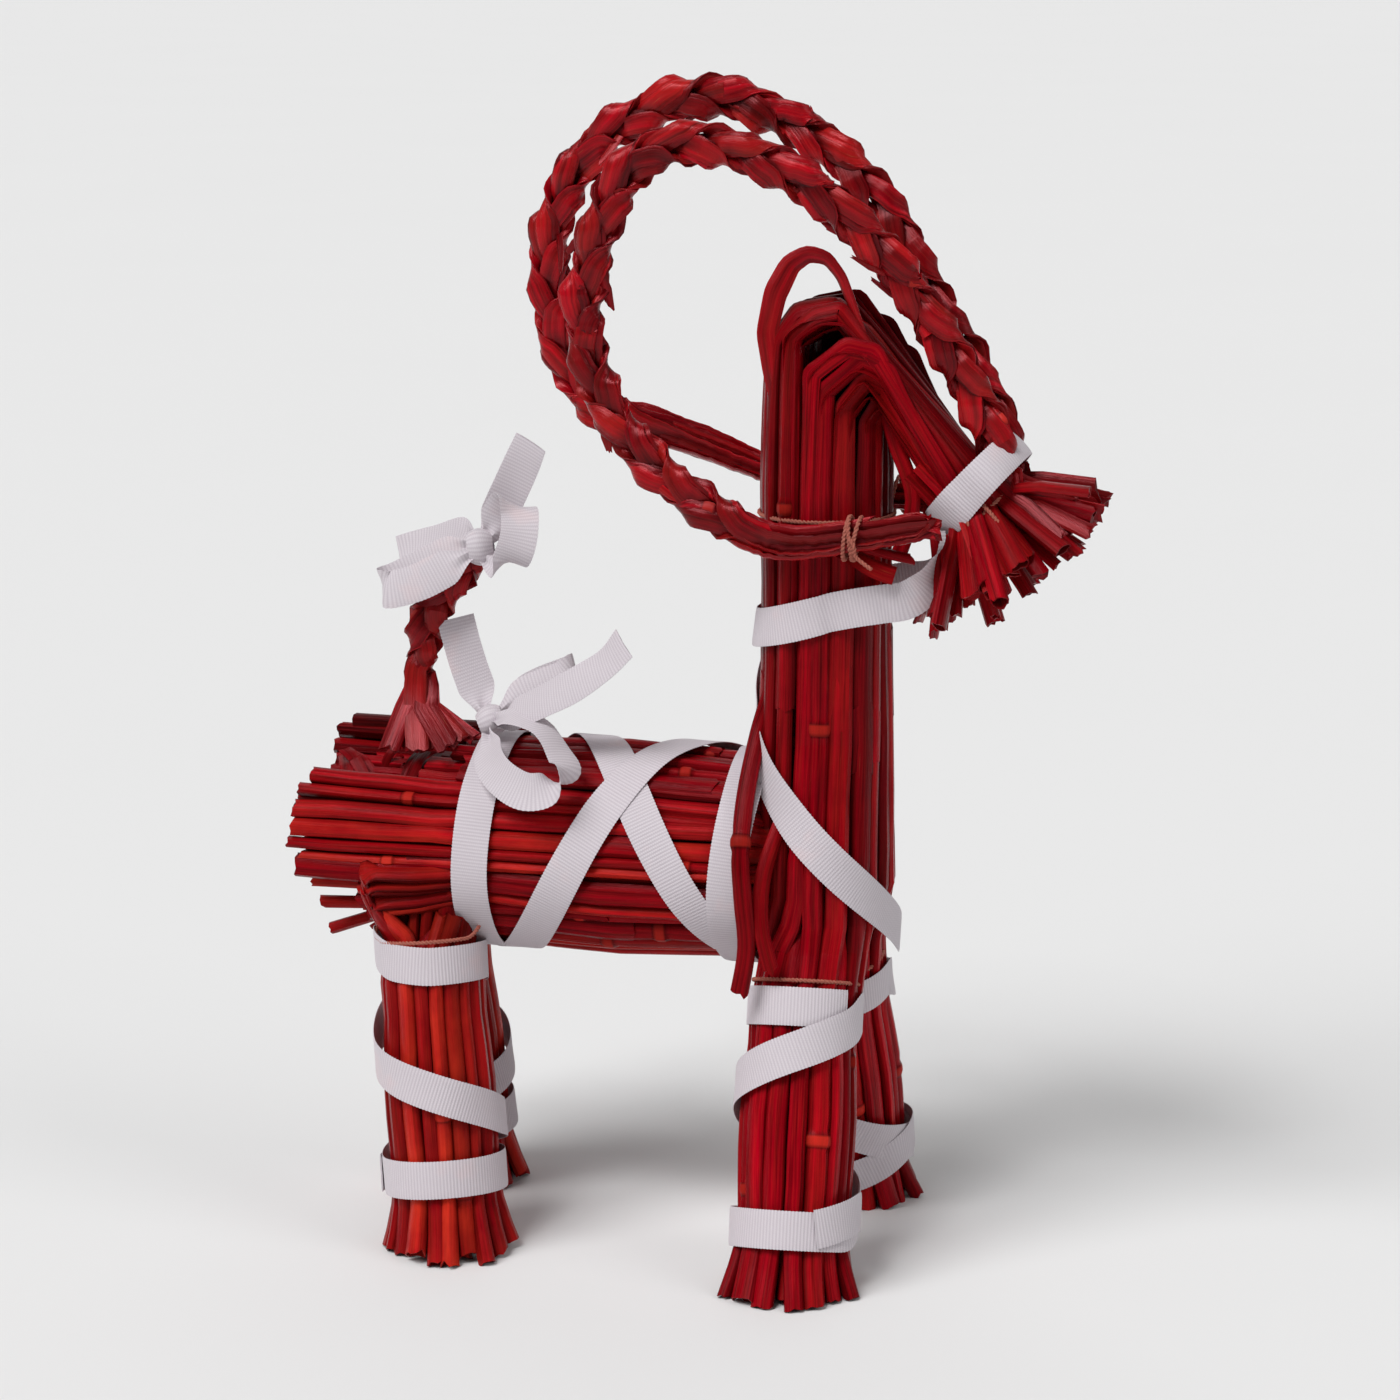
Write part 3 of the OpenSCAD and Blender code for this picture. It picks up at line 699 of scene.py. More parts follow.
def muzzle_filling(shape):
    """Shorter stalks inside the muzzle, which show between the others where it flares."""
    rng = np.random.default_rng(31)
    for ring, count in ((9.5, 13), (5.0, 9), (1.0, 2)):
        for k in range(count):
            a = 2 * math.pi * (k + rng.uniform(0, 0.6)) / count
            lift, side = 0.8 * ring * math.cos(a) - 0.8, ring * math.sin(a)
            waist = muzzle_at + lift * muzzle_up + side * Y
            aim = math.radians(-50 + 5.6 * lift + rng.normal(0, 6))
            spread = math.radians(38) * side / 12.5
            tip = waist + rng.uniform(22, 32) * heading(aim, spread)
            path, _ = creased([waist - 14 * muzzle_along, waist, waist + (2.5, 0, -3), tip], 3)
            stalk(shape, path, rng.uniform(1.8, 3.6), rng.uniform(0.7, 1.8), (0.3, 1, 0.3), tone(rng), rng,
                  ends=("plain", "cut" if rng.random() < 0.6 else "torn"), painted_shade_share=0.2)
    # A split straw hangs straight down from the underside.
    for x, y in ((66, -12), (68.4, -12.5)):
        path = spline([(x - 1, y, 196), (x + 0.4, y - 1, 183), (x - 0.4, y - 1.5, 171)], 5)
        stalk(shape, path, 1.3, 0.6, X, (0.85, 0.1), rng, ends=("plain", "torn"), painted_shade_share=0)


# ---- Hind legs and loose stalks at the rump ----
FOLDED_ANGLES = (98, 102.5, 107.5, 113, 119)      # on the body, for the folded stalks from the rear on


def folded_path(rank, lower, foot, top, side, rng):
    """Path of a hind leg's stalk that is folded forward along the body, and where its fold is."""
    last = lower[-1]
    x = np.array([-85.5 + 0.5 * rank + rng.uniform(-1, 1), -80, -71, -62, -53])
    level = FOLDED_ANGLES[rank] + rng.uniform(-2, 2) + np.array([0, 0, 1, 2, 2]) * (1 - rank / 3)
    run = body_point(x, level, body_radius(x) + np.array([1.8, 2.2, 1.0, -2.3, -3.4]))
    run[:, 1] *= -side
    axis = unit(top - foot)
    rise = last + axis * 12 - unit(last - foot - axis * LEG_S[-1]) * 1.8
    bent, folds = creased([last, rise, *run], 1.2)
    return np.vstack([lower[:-1], bent]), folds[1:2] + lengths(lower)[-1]


def plain_path(ring, lower, foot, top, side, rng):
    """Path of another stalk: up the body's side under the folded ones, or to an end inside the body."""
    last = lower[-1]
    axis, ahead, outward = leg_frame(foot, top)
    lean = last - foot - axis * LEG_S[-1]
    if ring > 0:
        end = np.array([last[0] + 0.3 * lean[0], last[1] * 0.8, 95])
        return np.vstack([lower, (last + end) / 2, end])
    away, forward = float(lean @ outward), float(lean @ ahead)
    inwards = -unit(away * outward + forward * ahead)
    over = [last + axis * 5 + inwards * 0.5, last + axis * 9 + inwards * 2.6]
    end = last + axis * 17 + inwards * 7
    if away > abs(forward):
        on_body = 132 - 9 * rng.uniform(0, 1) - 5 * away / 15
        end = body_point(last[0] + 0.2 * (lean @ ahead) + rng.uniform(-2, 2), on_body, body_r + 0.3)
        end[1] *= -side
    return np.vstack([lower, over, end])


def hind_leg(foot, top, rng):
    """A hind leg. Its stalks fan out under the body, and some are folded forward along it."""
    shape = Shape()
    side = 1 if foot[1] > 0 else -1
    for rank, (angle, inset, wide, thick, ring) in enumerate(layers(leg_r, rng, LEG_COUNT)):
        angle -= math.pi * 0.62
        lower = leg_path(foot, top, angle, inset, thick, rng.uniform(-0.95, -0.4), rng)
        folded = rank < len(FOLDED_ANGLES)
        if folded:
            path, folds = folded_path(rank, lower, foot, top, side, rng)
        else:
            path, folds = plain_path(ring, lower, foot, top, side, rng), ()
        distance = lengths(path)
        middle = foot + (top - foot) * np.clip(path[:, 2:] / top[2], 0, 1.1)
        across = np.cross(np.gradient(path, axis=0), (path - middle) * (1, 1, 0) + 1e-6)
        if folded:
            ramp = smoothstep((distance - folds[0] + 1) / 6)[:, None]
            outward = np.cross(X, np.cross(X, path - (0, 0, body_z)))
            across = unit(across) * (1 - ramp) + unit(outward) * np.sign(np.sum(across * outward)) * ramp
        else:
            across[len(lower):] = across[len(lower) - 1]
        width = wide * np.interp(distance, (0, 14), (1.15, 1))
        joints = [rng.uniform(14, 60)] if rng.random() < 0.35 and ring == 0 else []
        # Stalks that are not folded are painted darker past the top of the leg, where they go in under the
        # body: painted shade.
        stalk(shape, path, width, thick, across, tone(rng, (0.75, 1.2), (0.35, 1.0)), rng, joints,
              ("cut", "torn"), sides=12 if ring == 0 else 8, folds=folds, step=7 if ring == 0 else 30,
              painted_shade_share=np.interp(distance, (0, 14), (0.4, 1)),
              light=1 if folded else np.interp(distance, (70, 90), (1, 0.45)))
    return shape


# Loose stalks under the rump: side offset, height, droop in degrees and length.
RUMP_STRAYS = [(-20, 96, 1, 13), (-17, 90, 3, 12), (-10, 86, 20, 13), (4, 92, 5, 12), (13, 95, 2, 13)]


def rump_stray_stalks():
    rng = np.random.default_rng(51)
    shape = Shape()
    for y, z, droop, reach in RUMP_STRAYS:
        start = np.array([-84, y, z])
        path = np.linspace(start, start - heading(math.radians(droop)) * (reach + 5), 5)
        stalk(shape, path, 2.1, 1.6, Y, (1.0, rng.uniform(0.4, 0.8)), rng, ends=("plain", "cut"), painted_shade_share=0.2)
    return shape


def crown_loop():
    """One flat leaf that stands in a loop over the crown, its flat side to the side."""
    rng = np.random.default_rng(52)
    shape = Shape()
    points = [(24, -12, 226), (22, -12.5, 236), (20.4, -11.5, 246), (22, -9, 256), (25.5, -7, 263.3),
              (30, -6, 266), (35, -6, 265), (39, -7, 260.5), (42, -9, 254.5), (45, -11, 248),
              (48, -12.5, 241)]
    path, _ = creased(points, 1.5)
    wide = np.interp(lengths(path), [0, 18, 34, 44, 52, 75], [1.8, 2.8, 3.2, 2.4, 1.6, 1.0])
    across = np.cross(tangents(path), Y)
    stalk(shape, path, wide, 0.4, across, (0.8, 0.15), rng, ends=("plain", "plain"), curl=0.25, painted_shade_share=0)
    return shape


# ---- Braids ----
def zigzag(a):
    """A wave of height 1 with flatter flanks and rounder tips than a sine's."""
    return np.arcsin(0.97 * np.sin(a)) / math.asin(0.97)


def wrap(a):
    """How far a flat strand has turned over at the edges of a braid, in radians, at the phase a."""
    half, sweep = np.floor(a / math.pi), 0.62
    turned = math.pi * smoothstep((a - half * math.pi - math.pi / 2 + sweep) / (2 * sweep))
    return np.where(half % 2 == 0, turned, math.pi - turned)


def with_ends(rows, ends):
    """Repeats the first and the last row, as often as ends says."""
    return np.vstack([np.repeat(rows[:1], ends[0], 0), rows, np.repeat(rows[-1:], ends[1], 0)])


def braid_strand(strand, route, swing, depth, pitch, free_from, leaves, rng, head, tail, tones, frays):
    """One strand of a three-strand braid: flat leaves that lie on each other and fold over at its edges.

    leaves rows are an offset across the strand, one out of it, half width and half thickness. head and
    tail are the points where each leaf's two ends go beyond the braided route.
    """
    shape = Shape()
    p = even(spline(route, 10), 1.3)
    s = lengths(p)
    y = square_to(Y, tangents(p))
    u = np.cross(tangents(p), y)
    a = 2 * math.pi * (np.minimum(s, free_from) / pitch + strand / 3)
    beat = 1 + 0.10 * np.sin(s / 17 + strand) + 0.05 * np.sin(s / 7.3 + 2 * strand)
    beat *= (1 - 0.55 * smoothstep((s - free_from) / 45)) * (0.5 + 0.5 * smoothstep(s / 14))
    centre = p + (swing * beat * zigzag(a))[:, None] * u + (depth * np.sin(2 * a))[:, None] * y
    way = tangents(centre)
    turned = wrap(a)[:, None]
    face = square_to(Y, way)
    braid_normal = np.cos(turned) * face + np.sin(turned) * np.cross(way, face)
    braid_flat = np.cross(way, braid_normal)
    edge_on = np.sin(turned[:, 0])**2
    loose = smoothstep((s - free_from) / 15)[:, None]
    for k, (offset, stack, wide, thick) in enumerate(leaves):
        # Past the braid the leaves no longer lie flat on each other.
        tilt = loose * (k - 1.5) * 0.4
        flat = np.cos(tilt) * braid_flat + np.sin(tilt) * braid_normal
        normal = np.cos(tilt) * braid_normal - np.sin(tilt) * braid_flat
        slip = np.cumsum(rng.normal(0, 0.10, len(s)))
        slip -= np.linspace(slip[0], slip[-1], len(s))
        aside = (offset + slip) * (1 - 0.6 * edge_on)
        raised = stack + rng.normal(0, 0.12, len(s))
        line = centre + aside[:, None] * flat + raised[:, None] * normal
        ends = len(head[k]), len(tail[k])
        line = smooth_ends(np.vstack([head[k], line, tail[k]]), ends)
        across, core = with_ends(flat, ends), with_ends(p, ends)
        distance = lengths(line)
        total = distance[-1]
        share = 1 - 0.28 * np.r_[np.zeros(ends[0]), edge_on, np.zeros(ends[1])]
        share *= (1 + 0.07 * np.sin(distance / 5.1 + any_angle(rng))
                  + 0.04 * np.sin(distance / 2.2 + any_angle(rng)))
        light = np.interp(distance, (0, distance[ends[0]]), (0.6, 1))
        joints = [rng.uniform(20, total - 20)] if rng.random() < 0.5 else []
        # A strand is made of straws that end and begin along it.
        breaks = np.sort(rng.uniform(25, total - 25, 2)) if total > 150 else []
        tone_now = tones(rng)
        for low, high in zip(np.r_[0, breaks], np.r_[breaks, total]):
            pick = (distance >= low - 2) & (distance <= high + 2)
            if pick.sum() < 3:
                continue
            local = [j - distance[pick][0] for j in joints if low < j < high]
            stalk(shape, line[pick], wide * share[pick], thick, across[pick], tone_now, rng, local, step=50,
                  curl=0.35, ends=("torn", "torn"), core=core[pick], light=light[pick])
            tone_now = tones(rng)
    for _ in range(frays):
        row = rng.integers(8, len(s) - 12)
        out = (u[row] * np.sign(np.sin(a[row])) + rng.uniform(-1, 1) * y[row]) * rng.uniform(3.4, 4.8)
        start = p[row] + out * 0.6
        path = np.stack([start, start + way[row] * 4 + out * 0.28,
                         start + way[row] * rng.uniform(7, 11) + out * 0.45])
        wide = np.array([1.3, 1.2, 0.6]) * rng.uniform(0.6, 1.3)
        stalk(shape, path, wide, 0.25, flat[row], tones(rng), rng, sides=8, ends=("plain", "torn"), painted_shade_share=0)
    return shape


def smooth_ends(line, ends):
    """Rounds the two places where added points join a line."""
    out = line.copy()
    for _ in range(2):
        for row in (ends[0], len(line) - ends[1] - 1):
            if 0 < row < len(line) - 1:
                out[row] = (out[row - 1] + 2 * out[row] + out[row + 1]) / 4
    return out


# The middle lines of the braids, from their roots.
HORN_RIGHT = [(82.2, -5.3, 210.5), (76, -6, 226.5), (60, -9, 254), (42, -12, 276), (22, -14, 289),
              (0, -14, 294), (-17, -14, 284), (-27, -14, 256), (-24, -15, 234), (-13, -18, 217),
              (6, -21, 203), (26, -23, 194), (48, -23, 196), (64, -22, 199)]
HORN_LEFT = [(82.2, 5.3, 210.5), (76, 6, 226.5), (60, 10, 253), (44, 13, 279), (18, 16, 299),
             (-8, 17, 303), (-32, 18, 292), (-45, 18, 270), (-45, 18, 243), (-33, 19, 222), (-8, 21, 213),
             (16, 23, 204), (38, 23, 200), (58, 22.5, 199)]
TAIL = [(-78, 0, 149), (-77.5, 0, 154), (-77, 0, 160), (-75.3, 0, 166.5), (-70, 0, 174), (-62.5, 0, 182)]
HORN_PITCH = 50                     # one full turn of the braid
HORN_BRAIDED = 5.1 * HORN_PITCH     # from here on the strands run side by side
HORN_LEAVES = ((0.2, 0.7, 2.75, 0.6), (-0.5, -0.7, 2.75, 0.6), (1.3, 0.0, 2.0, 0.6), (-1.5, 0.1, 1.8, 0.6))
TAIL_LEAVES = ((0.2, 0.55, 3.1, 0.65), (-0.2, -0.55, 3.1, 0.65), (0.6, 0.0, 2.2, 0.6))
TAIL_PITCH = 34


def horns(material):
    """Two looped horns, three strands each. Their roots flare out under the muzzle tape."""
    for name, route, side in (("right", HORN_RIGHT, -1), ("left", HORN_LEFT, 1)):
        for strand, letter in enumerate("abc"):
            rng = np.random.default_rng(61 + 10 * strand + side)
            head, tail = [], []
            for k in range(len(HORN_LEAVES)):
                aim = math.radians(rng.uniform(-40, 4))
                spread = side * rng.uniform(-0.2, 0.6)
                reach = rng.uniform(17, 25)
                root = np.array([84 + rng.uniform(-2, 1), side * (1.5 + 1.9 * k) + rng.uniform(-1, 1),
                                 208 - strand * 1.8])
                way = (math.cos(aim) * math.cos(spread), math.sin(spread), math.sin(aim))
                tip = root + reach * np.array(way)
                head.append([tip, (tip + 2 * root) / 3 + (0, 0, 0.8), root])
                onward = (rng.uniform(1, 7), rng.uniform(-0.8, 0.8),
                          (strand - 1) * 1.6 + rng.uniform(0.2, 2))
                tail.append([np.array(route[-1]) + onward])
            shape = braid_strand(strand, route, 3.35, 1.7, HORN_PITCH, HORN_BRAIDED, HORN_LEAVES, rng, head,
                                 tail, lambda g: (g.uniform(0.45, 1.15), g.uniform(0, 0.35)), frays=4)
            node = f"horn_{name}_strand_{letter}"
            make(shape, node + "_straw", material, "braided_straw", node)


def tail(material):
    """A short braid. Below it the leaves spread into the hollow of the rump."""
    for strand, letter in enumerate("abc"):
        rng = np.random.default_rng(81 + strand)
        head, ends = [], []
        for k in range(len(TAIL_LEAVES)):
            place = (3 * strand + k) / 8
            foot = np.array([-83.5 + 23 * place, -9 + 3 * (k - 1), 130 + 4 * place**2])
            knee = np.array([-80.5 + 7 * place, -4.5 + (k - 1), 141.5])
            head.append([foot, knee])
            ends.append([(-60 + rng.uniform(-1, 1), rng.uniform(-2, 1), 184 + rng.uniform(0, 2))])
        shape = braid_strand(strand, TAIL, 3.0, 1.7, TAIL_PITCH, math.inf, TAIL_LEAVES, rng, head, ends,
                             lambda g: (g.uniform(0.5, 1.1), g.uniform(0, 0.5)), frays=0)
        make(shape, f"tail_strand_{letter}_straw", material, "braided_straw", f"tail_strand_{letter}")


# ---- Tape ----
# How the tapes are wound: an angle in degrees, a distance along the bundle and the number of tapes below.
FRONT_TURNS = [(-330, 73, 0), (0, 73, 0.9), (20, 69, 1), (180, 50, 1.2), (340, 22, 1.4), (380, 15.5, 1.5),
               (630, 15.5, 1.6), (690, 20.5, 2.4), (720, 21, 2.6), (778, 16, 2.8)]
HIND_TURNS = [(-60, 80, 0), (15, 82.5, 0), (60, 78.5, 0), (105, 77, 0), (195, 77, 0), (240, 74, 0.3),
              (330, 64, 1), (375, 54, 1), (540, 35, 1), (700, 23.5, 1), (740, 20.5, 1), (1040, 20.5, 1.1),
              (1060, 20.5, 2), (1100, 21, 2.1)]
CHEST_TURNS = [(-8, 85, 0), (0, 88, 0), (32, 98, 0), (152, 140, 0), (222, 163, 0)]
# Both crossing turns pass over the body's top and right side; b runs below a.
CROSS_TURNS = {"a": [(-60, 13, 1), (172, -51, 1)], "b": [(-85, -52, 0), (140, 14, 0)]}


def tape(path, wide, rng, narrow=None, cup=0.0, pleat=0.0, closed=False, width=tape_w, out=None):
    """A woven tape along a path, with ribs across it and a bumpy selvedge. wide is its width direction.

    narrow gives the share of the full width along the path; pleat is how deep it crumples where it is
    narrow, and cup how far its middle stands out.
    """
    shape = Shape()
    fine = even(path, rib_pitch / 3, closed)
    rough = lengths(np.vstack([path, path[:1]])) if closed else lengths(path)
    s = np.arange(len(fine)) * rib_pitch / 3
    known = s[-1] + (rib_pitch / 3 if closed else 0)
    where = s / known * rough[-1]

    def along(values):
        values = np.asarray(values, float)
        rows = np.vstack([values, values[:1]]) if closed else values
        return sample(where, rough, rows)

    t = tangents(fine, closed)
    w = square_to(along(wide) if np.ndim(wide) == 2 else wide, t)
    n = np.cross(t, w)
    if out is not None:
        n *= np.sign(np.sum(n * along(out), axis=1, keepdims=True))
    share = np.ones(len(s)) if narrow is None else along(np.reshape(narrow, (-1, 1)))[:, 0]
    c = np.linspace(-1, 1, 11)
    wave = np.cos(2 * math.pi * s / rib_pitch)[:, None]
    edge = 1 + 0.014 * wave * (np.abs(c) > 0.95)
    crumple = pleat * (1 - share)[:, None] * np.sin(4.7 * c + 0.6)
    drift = (0.14 * np.sin(s / 5.3 + rng.uniform(0, 6))[:, None] * c
             + 0.1 * np.sin(s / 3.7 + rng.uniform(0, 6))[:, None])
    lift = cup * (1 - c**2) + crumple + drift
    sides = []
    for face in (1, -1):
        bulge = face * (tape_t / 2 * (1 - 0.6 * (np.abs(c) > 0.95)) + rib_h * wave * (1 - 0.5 * c**6))
        points = fine[:, None] + (c * edge * width / 2 * share[:, None])[..., None] * w[:, None] \
            + (lift + bulge)[..., None] * n[:, None]
        sides.append(points)
    rings = np.concatenate([sides[0], sides[1][:, ::-1]], axis=1)
    tint = (rng.uniform(0.97, 1.03), rng.uniform(0, 1), 0, 0)
    offset = (rng.uniform(0, 30), 0)
    shape.tube(rings, s, tint, 2 * width, offset, closed)
    if not closed:
        shape.cap(rings[0], tint, False, offset)
        shape.cap(rings[-1], tint, True, offset)
    return shape, known


def tape_piece(node, material, path, wide, seed, held="stretched", **more):
    shape, length = tape(np.asarray(path, float), wide, np.random.default_rng(seed), **more)
    piece = make(shape, node + "_tape", material, "ribbon", node)
    return piece


def soften(values, width):
    """Rounds the corners of a row of numbers."""
    half = np.hanning(2 * width + 1)
    padded = np.r_[np.full(width, values[0]), values, np.full(width, values[-1])]
    return np.convolve(padded, half / half.sum(), "valid")


def wound(turns, radius_at, step=2.0):
    """Angle, distance along the axis and radius of a tape wound on a bundle.

    turns rows are an angle in degrees, a distance along the axis and the number of tapes below.
    """
    turns = np.asarray(turns, float)
    angle = np.arange(turns[0, 0], turns[-1, 0] + 0.01, step)
    place = soften(np.interp(angle, turns[:, 0], turns[:, 1]), 7)
    lift = soften(np.interp(angle, turns[:, 0], turns[:, 2]), 5)
    under = np.max([radius_at(place + d) for d in (-tape_w / 2, 0, tape_w / 2)], axis=0)
    return np.radians(angle), place, soften(under, 4) + tape_gap + tape_layer * lift + tape_t / 2


def leg_tape(node, material, foot, top, turns, ahead_sign, seed):
    """A spiral tape on a leg.

    Angles run from the front round the outer side; with ahead_sign -1, from the rear.
    """
    angle, s, radius = wound(turns, leg_radius)
    axis, ahead, outward = leg_frame(foot, top)
    out = np.cos(angle)[:, None] * ahead * ahead_sign + np.sin(angle)[:, None] * outward
    path = foot + axis * s[:, None] + radius[:, None] * out
    tape_piece(node, material, path, np.cross(tangents(path), out), seed, out=out)


def leg_tapes(material):
    for seed, (tie, foot, top, _) in enumerate(LEGS, 151):
        turns, ahead_sign = (FRONT_TURNS, 1) if tie.startswith("front") else (HIND_TURNS, -1)
        leg_tape(tie.replace("tie", "ribbon"), material, foot, top, turns, ahead_sign, seed)


def body_out(angle):
    """Directions out of the body, for angles from the top down the right side."""
    return np.stack([0 * angle, -np.sin(angle), np.cos(angle)], axis=1)


def body_tapes(material):
    """Two rings and two crossing turns."""
    around = np.radians(np.arange(0, 360, 3))
    for name, x, wave in (("rear", -55, 0.8), ("front", 15, 1.3)):
        radius = body_radius(x) + tape_gap + 1.5 * tape_layer + tape_t / 2
        out = body_out(around)
        path = out * radius + (0, 0, body_z) + X * (x + wave * np.sin(around * 2 + 0.5))[:, None]
        tape_piece(f"body_ribbon_{name}", material, path, X, 101 + x, closed=True, out=out)
    for seed, (name, turns) in enumerate(CROSS_TURNS.items(), 103):
        angle, x, radius = wound(turns, body_radius)
        out = body_out(angle)
        path = out * radius[:, None] + (0, 0, body_z) + x[:, None] * X
        tape_piece(f"body_ribbon_cross_{name}", material, path, np.cross(tangents(path), out), seed, out=out)


def chest_tape(material):
    """The diagonal across the chest, up to the back of the neck."""
    angle, z, radius = wound(CHEST_TURNS, neck_radius)
    radius = radius - 1.3 * smoothstep((angle - 2.6) / 0.4)
    out = np.stack([np.cos(angle), -np.sin(angle), 0 * angle], axis=1)
    oval = np.stack([1 + 0 * z, neck_bulge(z), 0 * z], axis=1)
    path = out * radius[:, None] * oval + (neck_x, 0, 0) + z[:, None] * Z
    tape_piece("chest_ribbon", material, path, np.cross(tangents(path), out), 111, out=out)


def throat_tape(material):
    """A turn behind the neck with a rise on each side to the muzzle."""
    rise = [(66, -10.8, 196.5), (65.6, -12.5, 189.5), (63.5, -14.6, 183), (58.8, -16.6, 179.3),
            (52.5, -17.8, 178.2), (46, -18, 177)]
    turn = np.radians(np.arange(72, 289, 12))
    r = float(neck_radius(174)) + tape_gap + tape_t
    around = [(neck_x + r * math.cos(a), -r * math.sin(a), 173.8 + 5.6 * math.cos(a)) for a in turn]
    path = spline(rise + around + [(x, -y, z) for x, y, z in rise[::-1]], 6)
    out = square_to(path - (neck_x, 0, 174), tangents(path))
    wide = square_to(np.array([0.15, 0, 1.0]), tangents(path))
    tape_piece("throat_ribbon", material, path, wide, 112, out=out)


def muzzle_tape(material):
    """The ring round the muzzle, with room for the horns' roots in its upper side."""
    around = np.radians(np.arange(0, 360, 4))
    upper = np.maximum(0, np.cos(around))
    high = muzzle_high + 1.0 + 8.6 * upper
    broad = muzzle_broad + 1.5 + 7 * np.sin(2 * around)**2 * upper
    out = np.cos(around)[:, None] * muzzle_up + np.sin(around)[:, None] * Y
    path = muzzle_at + (high * np.cos(around))[:, None] * muzzle_up + (broad * np.sin(around))[:, None] * Y
    path += (-0.6 * np.cos(around))[:, None] * muzzle_along
    tape_piece("muzzle_ribbon", material, path, muzzle_along, 113, closed=True, out=out,
               narrow=1 - 0.12 * upper, cup=0.5)


RUMP_KNOT = np.array([-56.0, -7.0, 139.5])
TAIL_KNOT = np.array([-59.7, -3.0, 185.7])
# Each tape of a bow: offsets from the knot, each with the tape's width direction there.
BOW_TAPES = {
    "rump_bow_loop_front": [
        ((2.5, -3, 1.5), (0.1, 0.7, 0.7)), ((9, -8, 3.5), (0, 0.95, 0.3)), ((18, -13, 1.5), (0, 1, 0.1)),
        ((24, -17, -3.5), (0.15, 1, 0.1)), ((27, -20.5, -7.5), (0.3, 0.85, 0.25)),
        ((24, -23.5, -11.5), (0.42, 0.6, 0.55)), ((17.5, -25, -12.8), (0.4, 0.3, 0.83)),
        ((10.5, -22.5, -10.5), (0.4, 0.1, 0.88)), ((4.5, -16, -7), (0.6, 0.1, 0.75)),
        ((0.5, -6, -2), (0.8, 0.1, 0.5)),
    ],
    "rump_bow_loop_back": [
        ((2.5, 1, 2), (0.1, 0.3, 1)), ((8, 3, 6.5), (-0.2, 0.4, 0.9)), ((14, 4, 9.5), (-0.25, 0.45, 0.85)),
        ((19, 5.5, 11.5), (-0.3, 0.5, 0.8)), ((20.5, 8.5, 12.5), (-0.3, 0.4, 0.85)),
        ((18, 10.5, 11.5), (-0.3, 0.5, 0.8)), ((10, 8, 8), (-0.2, 0.5, 0.8)), ((3, 4, 3), (0, 0.4, 0.9)),
    ],
    "rump_bow_tail_front": [
        ((3, -2.5, 0), (0, 0.4, 0.9)), ((9, -6, 3.5), (0, 0.5, 0.8)), ((18, -10, 8.5), (-0.2, 0.6, 0.75)),
        ((27, -12.5, 13.5), (-0.4, 0.5, 0.7)), ((36, -14, 20), (-0.6, 0.6, 0.4)),
        ((41.5, -15, 26), (-0.8, 0.5, 0.1)),
    ],
    "rump_bow_tail_back": [
        ((-2.5, 2.5, 1.5), (0.8, 0.4, 0.4)), ((-5, 5, 6), (0.9, 0.4, 0.3)), ((-8, 6, 13), (0.95, 0.3, 0.3)),
        ((-10, 6.5, 19), (0.95, 0.2, 0.3)), ((-12, 7, 26), (0.9, 0.3, 0.3)),
    ],
    "tail_bow_loop_front": [
        ((1.5, -1.5, -2), (0.5, 0.3, 0.75)), ((5, -3.5, -3.6), (0.75, 0.2, 0.6)),
        ((9.5, -6, -3), (0.93, 0.1, 0.3)), ((12.3, -7.5, 1.5), (0.97, 0.1, 0)),
        ((13.2, -7, 7), (0.97, 0.1, -0.1)), ((12, -4, 11.2), (0.93, 0, -0.3)),
        ((8.5, -0.5, 12.2), (0.88, 0.2, -0.42)), ((5.5, 1, 9), (0.9, 0.25, -0.35)),
        ((3.5, 1, 4.5), (0.88, 0.2, -0.35)), ((1.2, 0, 1.5), (0.8, 0.2, -0.3)),
    ],
    "tail_bow_loop_back": [
        ((-2, -1, 0), (0.1, 0.5, 0.85)), ((-9, -2, -1.5), (-0.1, 0.6, 0.8)),
        ((-16.5, -2.5, -5.5), (-0.25, 0.6, 0.75)), ((-22.5, -3.5, -9), (-0.3, 0.55, 0.8)),
        ((-24.8, -6, -10.6), (-0.2, 0.3, 0.93)), ((-22.5, -8.5, -11.2), (-0.1, 0.25, 0.95)),
        ((-15, -7.5, -9), (0, 0.3, 0.93)), ((-8, -5, -5.2), (0.1, 0.35, 0.9)),
        ((-2, -2.5, -1.6), (0.2, 0.4, 0.9)),
    ],
    "tail_bow_tail_up": [
        ((0.5, 1.5, 2), (0.9, 0.3, 0)), ((3, 4, 6.5), (0.9, 0.3, -0.3)),
        ((5.8, 5.5, 13), (0.95, 0.2, -0.3)), ((9, 6, 20), (0.9, 0.1, -0.35)),
        ((12.7, 5, 27.8), (0.8, -0.2, -0.5)),
    ],
    "tail_bow_tail_back": [
        ((-2, 2, 1.5), (0.3, 0.4, 0.9)), ((-8, 6, 2), (0.1, 0.5, 0.85)), ((-16, 9.5, -0.5), (0, 0.6, 0.8)),
        ((-23, 12, -3), (0.1, 0.5, 0.85)), ((-27.5, 12.5, -5), (0.2, 0.4, 0.9)),
    ],
}


# Each bow's knot: its place, the axis its tape goes round, and the direction where that tape begins.
KNOTS = {"rump": (RUMP_KNOT, (0.85, 0.3, 0.35), (0.2, -0.75, 0.6)),
         "tail": (TAIL_KNOT, (0.95, 0.25, 0.1), (-0.2, 0.1, 0.95))}


